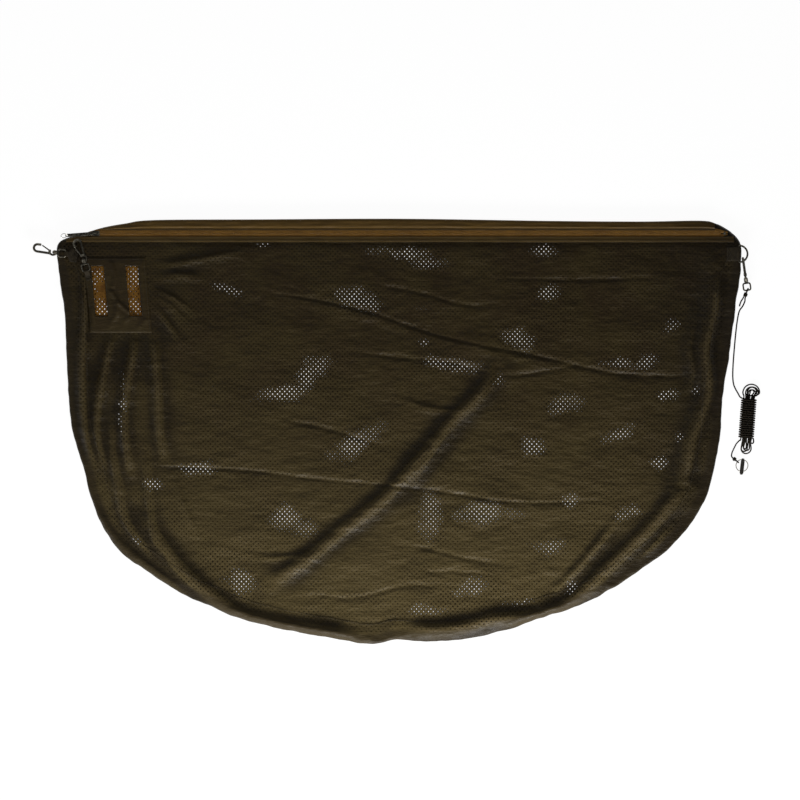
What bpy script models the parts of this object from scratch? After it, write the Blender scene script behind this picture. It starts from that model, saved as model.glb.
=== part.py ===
"""Carp sack, zipped shut and lying flat and empty, front upwards, on a surface at z = 0.

Metres. +X runs along the zip, +Y across the sack towards the zip, +Z up from the surface.
The origin is on the surface under the middle of the sack's outline.
"""

import math

import bmesh
import bpy
from mathutils import Matrix, Vector

# Cloth
SACK_LENGTH = 1.194
SACK_DEPTH = 0.740
CLOTH = 0.0010
INSIDE_HEIGHT = 0.0046
LAYER_GAP = 0.0003
SEAM_GAP = 0.0003
GUSSET_FLAP = 0.035
CORNER_FLAP = 0.006
GUSSET_ROUND = 0.0015
FOLD_HEIGHT = 0.0055
FOLD_GRID = 0.043

# Zip
CHAIN_INSET = 0.0223
CHAIN_START = 0.055
CHAIN_END = 0.027
TAPE_THICKNESS = 0.0008
TAPE_REACH = 0.0080
TAPE_END_REACH = 0.0028
TAPE_TAPER = 0.018
COIL_SLIT = 0.0014
COIL_WIDTH = 0.0020
COIL_HEIGHT = 0.0024
STRIP_OPENING = 0.0052
BAND_DEPTH = 0.0373
STRIP_END_INSET = 0.016
CORNER_GAP = 0.0012
STOP_LENGTH = 0.0035
STOP_HEIGHT = 0.0016

# Slider and pull
SLIDER_LENGTH = 0.0150
SLIDER_WIDTH = 0.0092
PLATE = 0.0011
FLANGE = 0.0014
WEB_LENGTH = 0.0032
SLIDER_GAP = 0.0003
BAIL_WINDOW = 0.0022
BAIL_LENGTH = 0.0070
BAIL_WIRE = 0.0014
BAIL_WIDTH = 0.0025
PULL_LENGTH = 0.0465
PULL_WIDTH = 0.0058
PULL_THICKNESS = 0.0014
PULL_EYE = 0.0017
PULL_BAR_RADIUS = 0.00055
PULL_SLOT = 0.0046
PULL_YAW = 4.5
PULL_TILT = -2.2
PULL_RING_SIZE = 0.0112
PULL_RING_WIRE = 0.0010
PULL_RING_TILT = 45.0

# Webbing tabs
WEBBING_WIDTH = 0.025
WEBBING_THICKNESS = 0.0014
TAB_BELOW_CHAIN = 0.0357
TAB_LENGTH = 0.0215
LEFT_BAR_INSET = 0.0150
LEFT_BAR_Z = 0.0115
RING_BAR_INSET = 0.0070
LOOP_LENGTH = 0.0170
FRONT_BAR_FROM_POCKET = 0.0055
FRONT_HOOK_BELOW_CHAIN = 0.00694
FRONT_BAR_ABOVE_POCKET = 0.0061
WRAP_GAP = 0.0003

# Hooks
HOOK_REACH = 0.0585
HOOK_WIRE = 0.0045
HOOK_INSIDE = 0.0080
SPINE_OFFSET = 0.0030
TIP_LEG = 0.0060
BARREL_RADIUS = 0.0037
BARREL_LENGTH = 0.0068
BARREL_BORE = 0.0020
STUD_RADIUS = 0.0016
STUD_HEAD_RADIUS = 0.0030
STUD_HEAD = 0.0016
EYE_LENGTH = 0.0125
EYE_WIDTH = 0.0125
EYE_WIRE = 0.0030
EYE_CORNER = 0.0030
GATE_ROOT_FROM_BAR = 0.0280
GATE_ROOT_RADIUS = 0.0020
GATE_ROOT_LENGTH = 0.0028
GATE_WIRE = 0.0026
GATE_END_GAP = 0.0010
EAR_THICKNESS = 0.0012
GATE_PIN_RADIUS = 0.00075
PIN_GAP = 0.0002
METAL_GAP = 0.0003
LEFT_HOOK_ANGLE = 171.5
LEFT_HOOK_DIP = 4.0
FRONT_HOOK_ANGLE = 104.5
FRONT_HOOK_DIP = -3.0
RIGHT_HOOK_ANGLE = 98.0
RIGHT_HOOK_DIP = 8.0

# D-ring
D_RING_INSIDE = 0.0260
D_RING_WIRE = 0.0035
D_RING_ANGLE = -60.0
D_RING_SLACK = 0.0013

# Pocket
POCKET_LEFT = 0.046
POCKET_WIDTH = 0.108
POCKET_DROP = 0.042
POCKET_HEIGHT = 0.131
POCKET_SLANT = 0.085
WINDOW_DROP = 0.015
WINDOW_WIDTH = 0.0215
WINDOW_HEIGHT = 0.087
LEFT_WINDOW_AT = 0.0125
RIGHT_WINDOW_AT = 0.0720
NET_HOLE = 0.0030
NET_COLUMNS = 2
NET_ROWS = 14
NET_THICKNESS = 0.0006

# Retaining cord
CORD = 0.0025
KNOT_RADIUS = 0.0036
KNOT_LENGTH = 0.0080
KNOT_TURNS = 3
KNOT_SLACK = 0.0005
KNOT_TURN = 30.0
KNOT_EXIT = 0.0017
RING_KNOT_LENGTH = 0.0060
RING_KNOT_ANGLE = 140.0
HANK_COLUMNS = 6
HANK_TURNS = 17
HANK_PITCH = 0.0033
HANK_LAYER = 0.00305
HANK_GAP = 0.0005
HANK_SIDE_GAP = 0.0010
HANK_CORNER = 0.0035
HANK_WAIST = 0.0360
HANK_WRAP = 0.0340
HANK_TOP_END = 0.0488
HANK_FOOT_END = 0.0524
HANK_FOLD_RADIUS = 0.0048
HANK_FAN = 0.0030
END_RING_SIZE = 0.0226
END_RING_WIRE = 0.0016
TAG_LENGTH = 0.0285
TAG_WIDTH = 0.0066
TAG_THICKNESS = 0.0032
TAG_WALL = 0.0008
TAG_EYE_WIDTH = 0.0040
TAG_SHOULDER = 0.0030
TAG_AT = 81.0
TAG_SKEW = 2.0
TAG_LIFT = 8.0

# Slider outline from its narrow end: share of the length, share of half the width
SLIDER_OUTLINE = (
    (0.00, 0.60),
    (0.15, 0.85),
    (0.40, 1.00),
    (0.80, 1.00),
    (1.00, 0.85),
)

# Outline of the sack, as shares of half its length and half its depth: first the zip's edge from
# left to right, then the curved edge from the right corner round to the left one.
ZIP_EDGE = (
    (-0.868, 0.958),
    (-0.800, 0.978),
    (-0.714, 0.994),
    (-0.408, 0.997),
    (0.000, 1.000),
    (0.437, 0.990),
    (0.700, 0.987),
    (0.874, 0.991),
    (0.918, 0.979),
)
CURVED_EDGE = (
    (0.947, 0.957),
    (0.982, 0.915),
    (0.995, 0.860),
    (0.992, 0.745),
    (0.980, 0.619),
    (0.966, 0.440),
    (0.945, 0.203),
    (0.926, -0.100),
    (0.880, -0.345),
    (0.790, -0.540),
    (0.677, -0.678),
    (0.556, -0.792),
    (0.400, -0.885),
    (0.230, -0.965),
    (0.090, -0.987),
    (-0.008, -0.978),
    (-0.090, -0.999),
    (-0.230, -0.963),
    (-0.414, -0.905),
    (-0.560, -0.818),
    (-0.700, -0.700),
    (-0.830, -0.535),
    (-0.888, -0.370),
    (-0.925, -0.160),
    (-0.960, 0.040),
    (-0.970, 0.300),
    (-0.980, 0.580),
    (-0.992, 0.720),
    (-1.000, 0.840),
    (-0.994, 0.888),
    (-0.965, 0.914),
    (-0.915, 0.935),
)
OUTLINE_STEP = 0.046

# Main fold ridges of the front panel, as shares like the outline: height share, half width, route
FOLDS = (
    (1.00, 0.030, ((0.26, 0.30), (0.02, -0.18), (-0.20, -0.53), (-0.38, -0.74))),
    (0.55, 0.026, ((-0.36, 0.66), (0.00, 0.52), (0.40, 0.36), (0.80, 0.26))),
    (0.50, 0.030, ((-0.70, -0.16), (-0.28, -0.21), (0.20, -0.29), (0.58, -0.34))),
    (0.75, 0.030, ((0.86, 0.62), (0.87, 0.10), (0.73, -0.46), (0.42, -0.80))),
    (0.70, 0.030, ((-0.72, -0.42), (-0.56, -0.62), (-0.22, -0.90))),
    (0.60, 0.034, ((-0.16, -0.30), (-0.44, -0.50), (-0.50, -0.72))),
    (0.45, 0.024, ((0.05, 0.78), (0.12, 0.55), (0.30, 0.40))),
)

# Route of the cord from the knot on: x, y and height of the cord's middle
LEAD_ROUTE = (
    (0.6000, 0.2265, 0.0034),
    (0.5962, 0.2180, 0.0016),
    (0.5905, 0.2095, 0.0013),
    (0.5872, 0.1950, 0.0013),
    (0.5845, 0.1740, 0.0013),
    (0.5815, 0.1420, 0.0013),
    (0.5795, 0.1150, 0.0013),
    (0.5790, 0.0960, 0.0013),
    (0.5803, 0.0830, 0.0013),
    (0.5835, 0.0745, 0.0013),
)
KNOT_TAIL_ROUTE = (
    (0.5935, 0.2265, 0.0030),
    (0.5912, 0.2205, 0.0015),
    (0.5909, 0.2176, 0.0013),
)
TAIL_ROUTE = (
    (0.5810, -0.0295, 0.0013),
    (0.5780, -0.0360, 0.0015),
    (0.5768, -0.0415, 0.0024),
)
HANK_TOP = (0.6073, 0.0583)
HANK_FOOT = (0.6020, -0.0131)
END_RING_AT = (0.5951, -0.0592)

# Hank, in millimetres of its own frame (across, along, height): its first points, the bend from
# the last long run into the wraps, and its last points
HANK_START = (
    (-16.5, -46.0, 1.3),
    (-15.1, -43.9, 1.3),
    (-13.0, -41.2, 1.9),
    (-10.6, -38.4, 3.2),
)
HANK_BEND = (
    (7.9, -39.5, 7.2),
    (9.6, -42.0, 6.9),
    (12.3, -42.4, 6.5),
    (13.6, -40.0, 6.2),
    (13.2, -36.8, 6.0),
)
HANK_FINISH = (
    (-11.5, 34.4, 1.27),
    (-14.0, 35.3, 1.3),
    (-16.3, 37.1, 1.3),
    (-17.8, 39.3, 1.3),
    (-19.1, 41.5, 1.3),
)

# Heights of the stacked layers
FRONT_BASE = CLOTH + INSIDE_HEIGHT
FRONT_TOP = FRONT_BASE + CLOTH
STRIP_BASE = FRONT_TOP + LAYER_GAP
TAPE_BASE = STRIP_BASE + CLOTH + LAYER_GAP
TAPE_TOP = TAPE_BASE + TAPE_THICKNESS
STRIP_TOP_BASE = TAPE_TOP + LAYER_GAP
BAND_TOP = STRIP_TOP_BASE + CLOTH
COIL_BASE = TAPE_TOP + LAYER_GAP
COIL_TOP = COIL_BASE + COIL_HEIGHT
POCKET_BASE = FRONT_TOP + LAYER_GAP
POCKET_TOP = POCKET_BASE + CLOTH

HALF_LENGTH = SACK_LENGTH / 2
HALF_DEPTH = SACK_DEPTH / 2
CHAIN_Y = HALF_DEPTH * 0.992 - CHAIN_INSET
CHAIN_LEFT = -HALF_LENGTH + CHAIN_START
CHAIN_RIGHT = HALF_LENGTH - CHAIN_END
TAB_Y = CHAIN_Y - TAB_BELOW_CHAIN

# Bar that the front hook's eye hangs on: near the pocket's left edge, and far enough below the
# chain for the whole hook to lie clear of the slider's pull
FRONT_BAR_AT = (
    POCKET_LEFT - HALF_LENGTH + FRONT_BAR_FROM_POCKET,
    CHAIN_Y - HOOK_REACH - FRONT_HOOK_BELOW_CHAIN,
    POCKET_TOP + FRONT_BAR_ABOVE_POCKET,
)


def clear_scene():
    for obj in list(bpy.data.objects):
        bpy.data.objects.remove(obj, do_unlink=True)


def finish(name, colour, roughness, metallic=0.0):
    material = bpy.data.materials.new(name)
    material.use_nodes = True
    shader = material.node_tree.nodes["Principled BSDF"]
    shader.inputs["Base Color"].default_value = (*colour, 1.0)
    shader.inputs["Roughness"].default_value = roughness
    shader.inputs["Metallic"].default_value = metallic
    return material


def add_frame(name, matrix, parent=None):
    """Empty that carries the pieces of one moving group."""
    empty = bpy.data.objects.new(name, None)
    empty.empty_display_size = 0.01
    bpy.context.scene.collection.objects.link(empty)
    empty.parent = parent
    empty.matrix_basis = matrix
    return empty


def add_object(name, data, material, parent=None, place=(0, 0, 0)):
    """The data lies in the parent's frame, and the object's origin goes to the place in it."""
    obj = bpy.data.objects.new(name, data)
    data.materials.append(material)
    data.transform(Matrix.Translation(-Vector(place)))
    bpy.context.scene.collection.objects.link(obj)
    obj.parent = parent
    obj.location = place
    return obj


def add_mesh(name, bm, material, parent=None, place=(0, 0, 0)):
    bmesh.ops.recalc_face_normals(bm, faces=bm.faces)
    mesh = bpy.data.meshes.new(name)
    bm.to_mesh(mesh)
    bm.free()
    mesh.shade_smooth()
    mesh.set_sharp_from_angle(angle=math.radians(40))
    return add_object(name, mesh, material, parent, place)


def add_wire(name, points, radius, material, parent=None, place=(0, 0, 0), closed=False):
    """Round bar or cord through the points, with flat ends unless it is closed."""
    curve = bpy.data.curves.new(name, "CURVE")
    curve.dimensions = "3D"
    curve.bevel_depth = radius
    curve.bevel_resolution = 2
    curve.use_fill_caps = True
    spline = curve.splines.new("POLY")
    spline.points.add(len(points) - 1)
    for knot, point in zip(spline.points, points):
        knot.co = (*point, 1.0)
    spline.use_cyclic_u = closed
    return add_object(name, curve, material, parent, place)


def combine(target, other, operation):
    """Boolean with a helper that stays out of the render."""
    other.hide_render = True
    other.display_type = "WIRE"
    modifier = target.modifiers.new(f"{operation.lower()} {other.name}", "BOOLEAN")
    modifier.operation = operation
    modifier.solver = "EXACT"
    modifier.object = other


def loft(rings, closed=False):
    """Skin through rings of equal count; open ends are capped."""
    bm = bmesh.new()
    rows = [[bm.verts.new(point) for point in ring] for ring in rings]
    pairs = list(zip(rows, rows[1:]))
    if closed:
        pairs.append((rows[-1], rows[0]))
    for first, second in pairs:
        for i in range(len(first)):
            j = (i + 1) % len(first)
            bm.faces.new((first[i], first[j], second[j], second[i]))
    if not closed:
        bm.faces.new(rows[0])
        bm.faces.new(rows[-1])
    return bm


def slab(outline, low, high):
    return loft([[(x, y, z) for x, y in outline] for z in (low, high)])


def box(low, high):
    outline = ((low[0], low[1]), (high[0], low[1]), (high[0], high[1]), (low[0], high[1]))
    return slab(outline, low[2], high[2])


def circle(radius, sides, turn=0.0):
    angles = [turn + 2 * math.pi * i / sides for i in range(sides)]
    return [(radius * math.cos(a), radius * math.sin(a)) for a in angles]


def turned(profile, sides):
    """Solid of revolution about X through (x, radius) pairs."""
    return loft([[(x, y, z) for y, z in circle(radius, sides)] for x, radius in profile])


def drilled(profile, sides):
    """Closed profile of (x, radius) pairs turned about X, open along its bore."""
    rings = []
    for c, s in circle(1.0, sides):
        rings.append([(x, radius * c, radius * s) for x, radius in profile])
    return loft(rings, closed=True)


def rod(points, radii, sides):
    """Round rod that keeps its sides untwisted along a plane route, flat at both ends."""
    rings = []
    points = [Vector(point) for point in points]
    for i, point in enumerate(points):
        ahead = points[min(i + 1, len(points) - 1)] - points[max(i - 1, 0)]
        side = Vector((-ahead.y, ahead.x, 0)).normalized()
        up = Vector((0, 0, 1))
        rings.append([point + side * c + up * s for c, s in circle(radii[i], sides, math.pi / sides)])
    return loft(rings)


def smooth_route(points, spacing, closed=False):
    """Catmull-Rom curve through the points, read at about the spacing."""
    points = [Vector(point) for point in points]
    count = len(points)
    route = []
    for i in range(count if closed else count - 1):
        if closed:
            a, b, c, d = (points[(i + k) % count] for k in (-1, 0, 1, 2))
        else:
            a, b, c, d = (points[min(max(i + k, 0), count - 1)] for k in (-1, 0, 1, 2))
        steps = max(1, round((c - b).length / spacing))
        for step in range(steps):
            t = step / steps
            route.append(
                0.5
                * (
                    2 * b
                    + (c - a) * t
                    + (2 * a - 5 * b + 4 * c - d) * t**2
                    + (3 * b - a - 3 * c + d) * t**3
                )
            )
    if not closed:
        route.append(points[-1])
    return route


def inset(loop, distances):
    """Closed loop that runs clockwise, moved inwards by each point's own distance."""
    moved = []
    for i, point in enumerate(loop):
        ahead = (loop[(i + 1) % len(loop)] - loop[i - 1]).normalized()
        moved.append(point + Vector((ahead.y, -ahead.x)) * distances[i])
    return moved


def full_size(shares):
    return [(x * HALF_LENGTH, y * HALF_DEPTH) for x, y in shares]


def height_on(edge, x):
    """Height y of an edge that runs along X, at x."""
    for first, second in zip(edge, edge[1:]):
        if min(first.x, second.x) <= x <= max(first.x, second.x):
            share = (x - first.x) / ((second.x - first.x) or 1.0)
            return first.y + (second.y - first.y) * share
    return min(edge, key=lambda point: abs(point.x - x)).y


clear_scene()

OLIVE = finish("olive cloth", (0.060, 0.046, 0.024), 0.75)
DARK_OLIVE = finish("dark olive cloth", (0.042, 0.034, 0.018), 0.75)
ZIP_BROWN = finish("orange-brown zip", (0.150, 0.080, 0.030), 0.6)
WEBBING = finish("olive webbing", (0.085, 0.068, 0.040), 0.8)
MESH_ORANGE = finish("orange mesh", (0.330, 0.150, 0.020), 0.7)
GUNMETAL = finish("gunmetal", (0.120, 0.115, 0.095), 0.35, 1.0)
DARK_METAL = finish("dark metal", (0.060, 0.058, 0.050), 0.35, 1.0)
CORD_BROWN = finish("dark brown cord", (0.050, 0.040, 0.026), 0.8)
RUBBER = finish("dark rubber", (0.035, 0.032, 0.028), 0.7)

# The outline, once round: the zip's edge first, then the curved edge.
zip_points = [Vector(point) for point in full_size(ZIP_EDGE)]
OUTLINE = smooth_route(full_size(ZIP_EDGE + CURVED_EDGE), OUTLINE_STEP, closed=True)
first_curved = min(
    range(len(OUTLINE)),
    key=lambda i: (OUTLINE[i] - zip_points[-1]).length,
)
ZIP_SIDE = OUTLINE[: first_curved + 1]
CURVED_SIDE = OUTLINE[first_curved + 1 :]
after_zip = (CURVED_SIDE[0] - ZIP_SIDE[-1]).normalized() * CORNER_GAP
before_zip = (CURVED_SIDE[-1] - ZIP_SIDE[0]).normalized() * CORNER_GAP
CURVED_SIDE = [ZIP_SIDE[-1] + after_zip, *CURVED_SIDE, ZIP_SIDE[0] + before_zip]
OUTLINE = ZIP_SIDE + CURVED_SIDE


def flap_width(point):
    """The gusset lies in a wide flap, narrow only round the two zip corners."""
    share = (CHAIN_Y - point.y) / (2 * TAB_BELOW_CHAIN)
    share = min(max(share, 0.0), 1.0)
    return CORNER_FLAP + (GUSSET_FLAP - CORNER_FLAP) * share


FLAPS = [CLOTH + SEAM_GAP] * len(ZIP_SIDE) + [flap_width(point) for point in CURVED_SIDE]
GUSSET_INNER = inset(OUTLINE, FLAPS)[len(ZIP_SIDE) :]


def make_panels():
    """Back panel, flat on the surface, and the front panel with its fold ridges."""
    inner = inset(OUTLINE, [CLOTH + SEAM_GAP] * len(OUTLINE))
    add_mesh("back_panel", slab(inner, 0.0, CLOTH), DARK_OLIVE)

    edge = inset(OUTLINE, [flap + SEAM_GAP for flap in FLAPS])
    bm = bmesh.new()
    bm.faces.new([bm.verts.new((point.x, point.y, FRONT_TOP)) for point in edge])
    for axis, half in ((Vector((1, 0, 0)), HALF_LENGTH), (Vector((0, 1, 0)), HALF_DEPTH)):
        cuts = round(2 * half / FOLD_GRID)
        for i in range(1, cuts):
            place = axis * (2 * half * i / cuts - half)
            everything = bm.verts[:] + bm.edges[:] + bm.faces[:]
            bmesh.ops.bisect_plane(bm, geom=everything, plane_co=place, plane_no=axis)
    for vert in bm.verts:
        vert.co.z += fold_height(vert.co.xy, edge)
    bmesh.ops.triangulate(bm, faces=bm.faces)
    front = add_mesh("front_panel", bm, OLIVE)
    thickness = front.modifiers.new("cloth thickness", "SOLIDIFY")
    thickness.thickness = CLOTH
    thickness.offset = -1.0


def distance_to(point, first, second):
    run = second - first
    share = min(max((point - first).dot(run) / run.length_squared, 0.0), 1.0)
    return (point - first - run * share).length


def fold_height(point, edge):
    """Height of the ridges at a point, fading to nothing at the seams and under what is sewn on."""
    height = 0.0
    for share, half_width, route in FOLDS:
        line = [Vector(place) for place in full_size(route)]
        near = min(distance_to(point, a, b) for a, b in zip(line, line[1:]))
        height += share * FOLD_HEIGHT * math.exp(-((near / half_width) ** 2))
    rim = min(distance_to(point, edge[i - 1], edge[i]) for i in range(len(edge)))
    fade = min(max(rim / 0.030, 0.0), 1.0)
    under_band = min(max((CHAIN_Y - TAB_BELOW_CHAIN - point.y) / 0.040, 0.0), 1.0)
    right_of_pocket = (point.x + HALF_LENGTH - POCKET_LEFT - POCKET_WIDTH) / 0.040
    below_pocket = (CHAIN_Y - POCKET_DROP - POCKET_HEIGHT - point.y) / 0.040
    off_pocket = min(max(max(right_of_pocket, below_pocket), 0.0), 1.0)
    return height * fade * under_band * off_pocket


def make_gusset():
    """Cloth band round the curved edge: an upright wall whose top lies over as a flap."""
    bend = GUSSET_ROUND
    rings = []
    for outer, inner in zip(CURVED_SIDE, GUSSET_INNER):
        inwards = (inner - outer).normalized()
        reach = (inner - outer).length
        profile = (
            (0.0, 0.0),
            (0.0, FRONT_TOP - bend),
            (0.3 * bend, FRONT_TOP - 0.3 * bend),
            (bend, FRONT_TOP),
            (reach, FRONT_TOP),
            (reach, FRONT_BASE),
            (CLOTH + 0.2 * bend, FRONT_BASE),
            (CLOTH, FRONT_BASE - 0.5 * bend),
            (CLOTH, 0.0),
        )
        ring = []
        for r, z in profile:
            place = outer + inwards * r
            ring.append((place.x, place.y, z))
        rings.append(ring)
    add_mesh("gusset", loft(rings), OLIVE)


def make_zip():
    """Both folded cloth strips, both tapes, both coil halves and the three end stops."""
    upper_inner = CHAIN_Y + STRIP_OPENING
    rings = []
    for point in ZIP_SIDE:
        outer = point.y
        if outer - upper_inner < 4 * CLOTH:
            continue
        profile = (
            (outer, 0.0),
            (outer, BAND_TOP - GUSSET_ROUND / 2),
            (outer - GUSSET_ROUND / 2, BAND_TOP),
            (upper_inner, BAND_TOP),
            (upper_inner, STRIP_TOP_BASE),
            (outer - CLOTH, STRIP_TOP_BASE),
            (outer - CLOTH, STRIP_BASE + CLOTH),
            (upper_inner, STRIP_BASE + CLOTH),
            (upper_inner, STRIP_BASE),
            (outer - CLOTH, STRIP_BASE),
            (outer - CLOTH, 0.0),
        )
        rings.append([(point.x, y, z) for y, z in profile])
    add_mesh("zip_strip_upper", loft(rings), OLIVE)

    hem = HALF_DEPTH * 0.992 - BAND_DEPTH
    rings = []
    top_edge = sorted((point for point in OUTLINE if point.y > TAB_Y), key=lambda point: point.x)
    start = STRIP_END_INSET - HALF_LENGTH
    stations = [start + STRIP_END_INSET * share for share in (0.0, 0.5, 1.0, 1.6)]
    for x in (*stations, -start):
        inner = min(CHAIN_Y - STRIP_OPENING, height_on(top_edge, x) - 2 * CLOTH)
        profile = (
            (inner, BAND_TOP),
            (hem + GUSSET_ROUND, BAND_TOP),
            (hem, (BAND_TOP + STRIP_BASE) / 2),
            (hem + GUSSET_ROUND, STRIP_BASE),
            (inner, STRIP_BASE),
            (inner, STRIP_BASE + CLOTH),
            (hem + GUSSET_ROUND + CLOTH, STRIP_BASE + CLOTH),
            (hem + GUSSET_ROUND + CLOTH, STRIP_TOP_BASE),
            (inner, STRIP_TOP_BASE),
        )
        rings.append([(x, y, z) for y, z in profile])
    add_mesh("zip_strip_lower", loft(rings), OLIVE)

    inner_edge = COIL_SLIT / 2
    for side, name in ((1, "upper"), (-1, "lower")):
        outline = (
            (CHAIN_LEFT, inner_edge),
            (CHAIN_RIGHT, inner_edge),
            (CHAIN_RIGHT, TAPE_END_REACH),
            (CHAIN_RIGHT - TAPE_TAPER, TAPE_REACH),
            (CHAIN_LEFT + TAPE_TAPER, TAPE_REACH),
            (CHAIN_LEFT, TAPE_END_REACH),
        )
        outline = [(x, CHAIN_Y + side * reach_y) for x, reach_y in outline]
        add_mesh(f"zip_tape_{name}", slab(outline, TAPE_BASE, TAPE_TOP), ZIP_BROWN)

        coil_left = CHAIN_LEFT + 1.5 * STOP_LENGTH
        coil_right = CHAIN_RIGHT - 2.5 * STOP_LENGTH
        crown = COIL_TOP - COIL_HEIGHT / 3
        half_round = (
            (0.0, COIL_BASE),
            (0.0, crown),
            (0.25 * COIL_WIDTH, COIL_TOP),
            (0.65 * COIL_WIDTH, COIL_TOP),
            (COIL_WIDTH, crown),
            (COIL_WIDTH, COIL_BASE),
        )
        rings = []
        for x in (coil_left, coil_right):
            rings.append([(x, CHAIN_Y + side * (inner_edge + y), z) for y, z in half_round])
        add_mesh(f"zip_coil_{name}", loft(rings), ZIP_BROWN)

        low = CHAIN_Y + side * inner_edge
        high = CHAIN_Y + side * (inner_edge + COIL_WIDTH)
        stop = box(
            (CHAIN_LEFT, min(low, high), COIL_BASE),
            (CHAIN_LEFT + STOP_LENGTH, max(low, high), COIL_BASE + STOP_HEIGHT),
        )
        add_mesh(f"zip_top_stop_{name}", stop, GUNMETAL)

    half = inner_edge + COIL_WIDTH
    stop = box(
        (CHAIN_RIGHT - 2 * STOP_LENGTH, CHAIN_Y - half, COIL_BASE),
        (CHAIN_RIGHT - STOP_LENGTH, CHAIN_Y + half, COIL_BASE + STOP_HEIGHT),
    )
    add_mesh("zip_bottom_stop", stop, GUNMETAL)


SLIDER_LEFT = CHAIN_LEFT + STOP_LENGTH + 2 * SLIDER_GAP
SLIDER_X = SLIDER_LEFT + SLIDER_LENGTH / 2
PLATE_BASE = COIL_TOP + SLIDER_GAP
PLATE_TOP = PLATE_BASE + PLATE
BAIL_X = -0.1 * SLIDER_LENGTH
BAIL_RISE = BAIL_WINDOW + BAIL_WIRE / 2
PULL_X = BAIL_X - BAIL_LENGTH / 2 + BAIL_WIRE / 2 + 2.5 * SLIDER_GAP + PULL_BAR_RADIUS
PULL_Z = PLATE_TOP + BAIL_WINDOW - SLIDER_GAP - PULL_BAR_RADIUS


def make_slider():
    """Slider whose two plates are joined by a thin web in the slit of the coil, and its bail."""
    origin = add_frame("slider_frame", Matrix.Translation((SLIDER_X, CHAIN_Y, 0)))
    half = SLIDER_WIDTH / 2
    left = -SLIDER_LENGTH / 2
    sides = [(left + share * SLIDER_LENGTH, half * width) for share, width in SLIDER_OUTLINE]
    edge = PLATE / 3
    rings = []
    for x, y in sides:
        profile = (
            (-y, PLATE_BASE),
            (-y, PLATE_TOP - edge),
            (edge - y, PLATE_TOP),
            (y - edge, PLATE_TOP),
            (y, PLATE_TOP - edge),
            (y, PLATE_BASE),
        )
        rings.append([(x, across, z) for across, z in profile])
    slider = add_mesh("zip_slider", loft(rings), GUNMETAL, origin)

    outline = sides + [(x, -y) for x, y in sides[::-1]]
    bottom = slab(outline, STRIP_BASE, TAPE_BASE - SLIDER_GAP)
    combine(slider, add_mesh("slider bottom plate", bottom, GUNMETAL, origin), "UNION")
    web_half = COIL_SLIT / 2 - SLIDER_GAP
    web = box(
        (-left - WEB_LENGTH, -web_half, STRIP_BASE + PLATE / 2),
        (-left - edge, web_half, PLATE_BASE + PLATE / 2),
    )
    combine(slider, add_mesh("slider web", web, GUNMETAL, origin), "UNION")
    for side in (-1, 1):
        outer = side * (half - edge)
        inner = side * (half - edge - FLANGE)
        flange = box(
            (left + 0.3 * SLIDER_LENGTH, min(outer, inner), COIL_BASE),
            (left + 0.85 * SLIDER_LENGTH, max(outer, inner), PLATE_BASE + PLATE / 2),
        )
        combine(slider, add_mesh(f"slider flange {side}", flange, GUNMETAL, origin), "UNION")

    reach = BAIL_LENGTH / 2
    corner = 0.3 * BAIL_LENGTH
    route = [(-reach, PLATE_TOP - edge)]
    for centre, start in ((corner - reach, 180), (reach - corner, 90)):
        for i in range(5):
            angle = math.radians(start - 22.5 * i)
            rise = BAIL_RISE - corner + corner * math.sin(angle)
            route.append((centre + corner * math.cos(angle), PLATE_TOP + rise))
    route.append((reach, PLATE_TOP - edge))
    rings = []
    for i, (x, z) in enumerate(route):
        ahead = Vector(route[min(i + 1, len(route) - 1)]) - Vector(route[max(i - 1, 0)])
        out = Vector((-ahead.y, ahead.x)).normalized() * BAIL_WIRE / 2
        near = (BAIL_X + x - out.x, z - out.y)
        far = (BAIL_X + x + out.x, z + out.y)
        wide = BAIL_WIDTH / 2
        rings.append(
            [
                (near[0], -wide, near[1]),
                (far[0], -wide, far[1]),
                (far[0], wide, far[1]),
                (near[0], wide, near[1]),
            ]
        )
    combine(slider, add_mesh("slider bail", loft(rings), GUNMETAL, origin), "UNION")
    return origin


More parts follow.
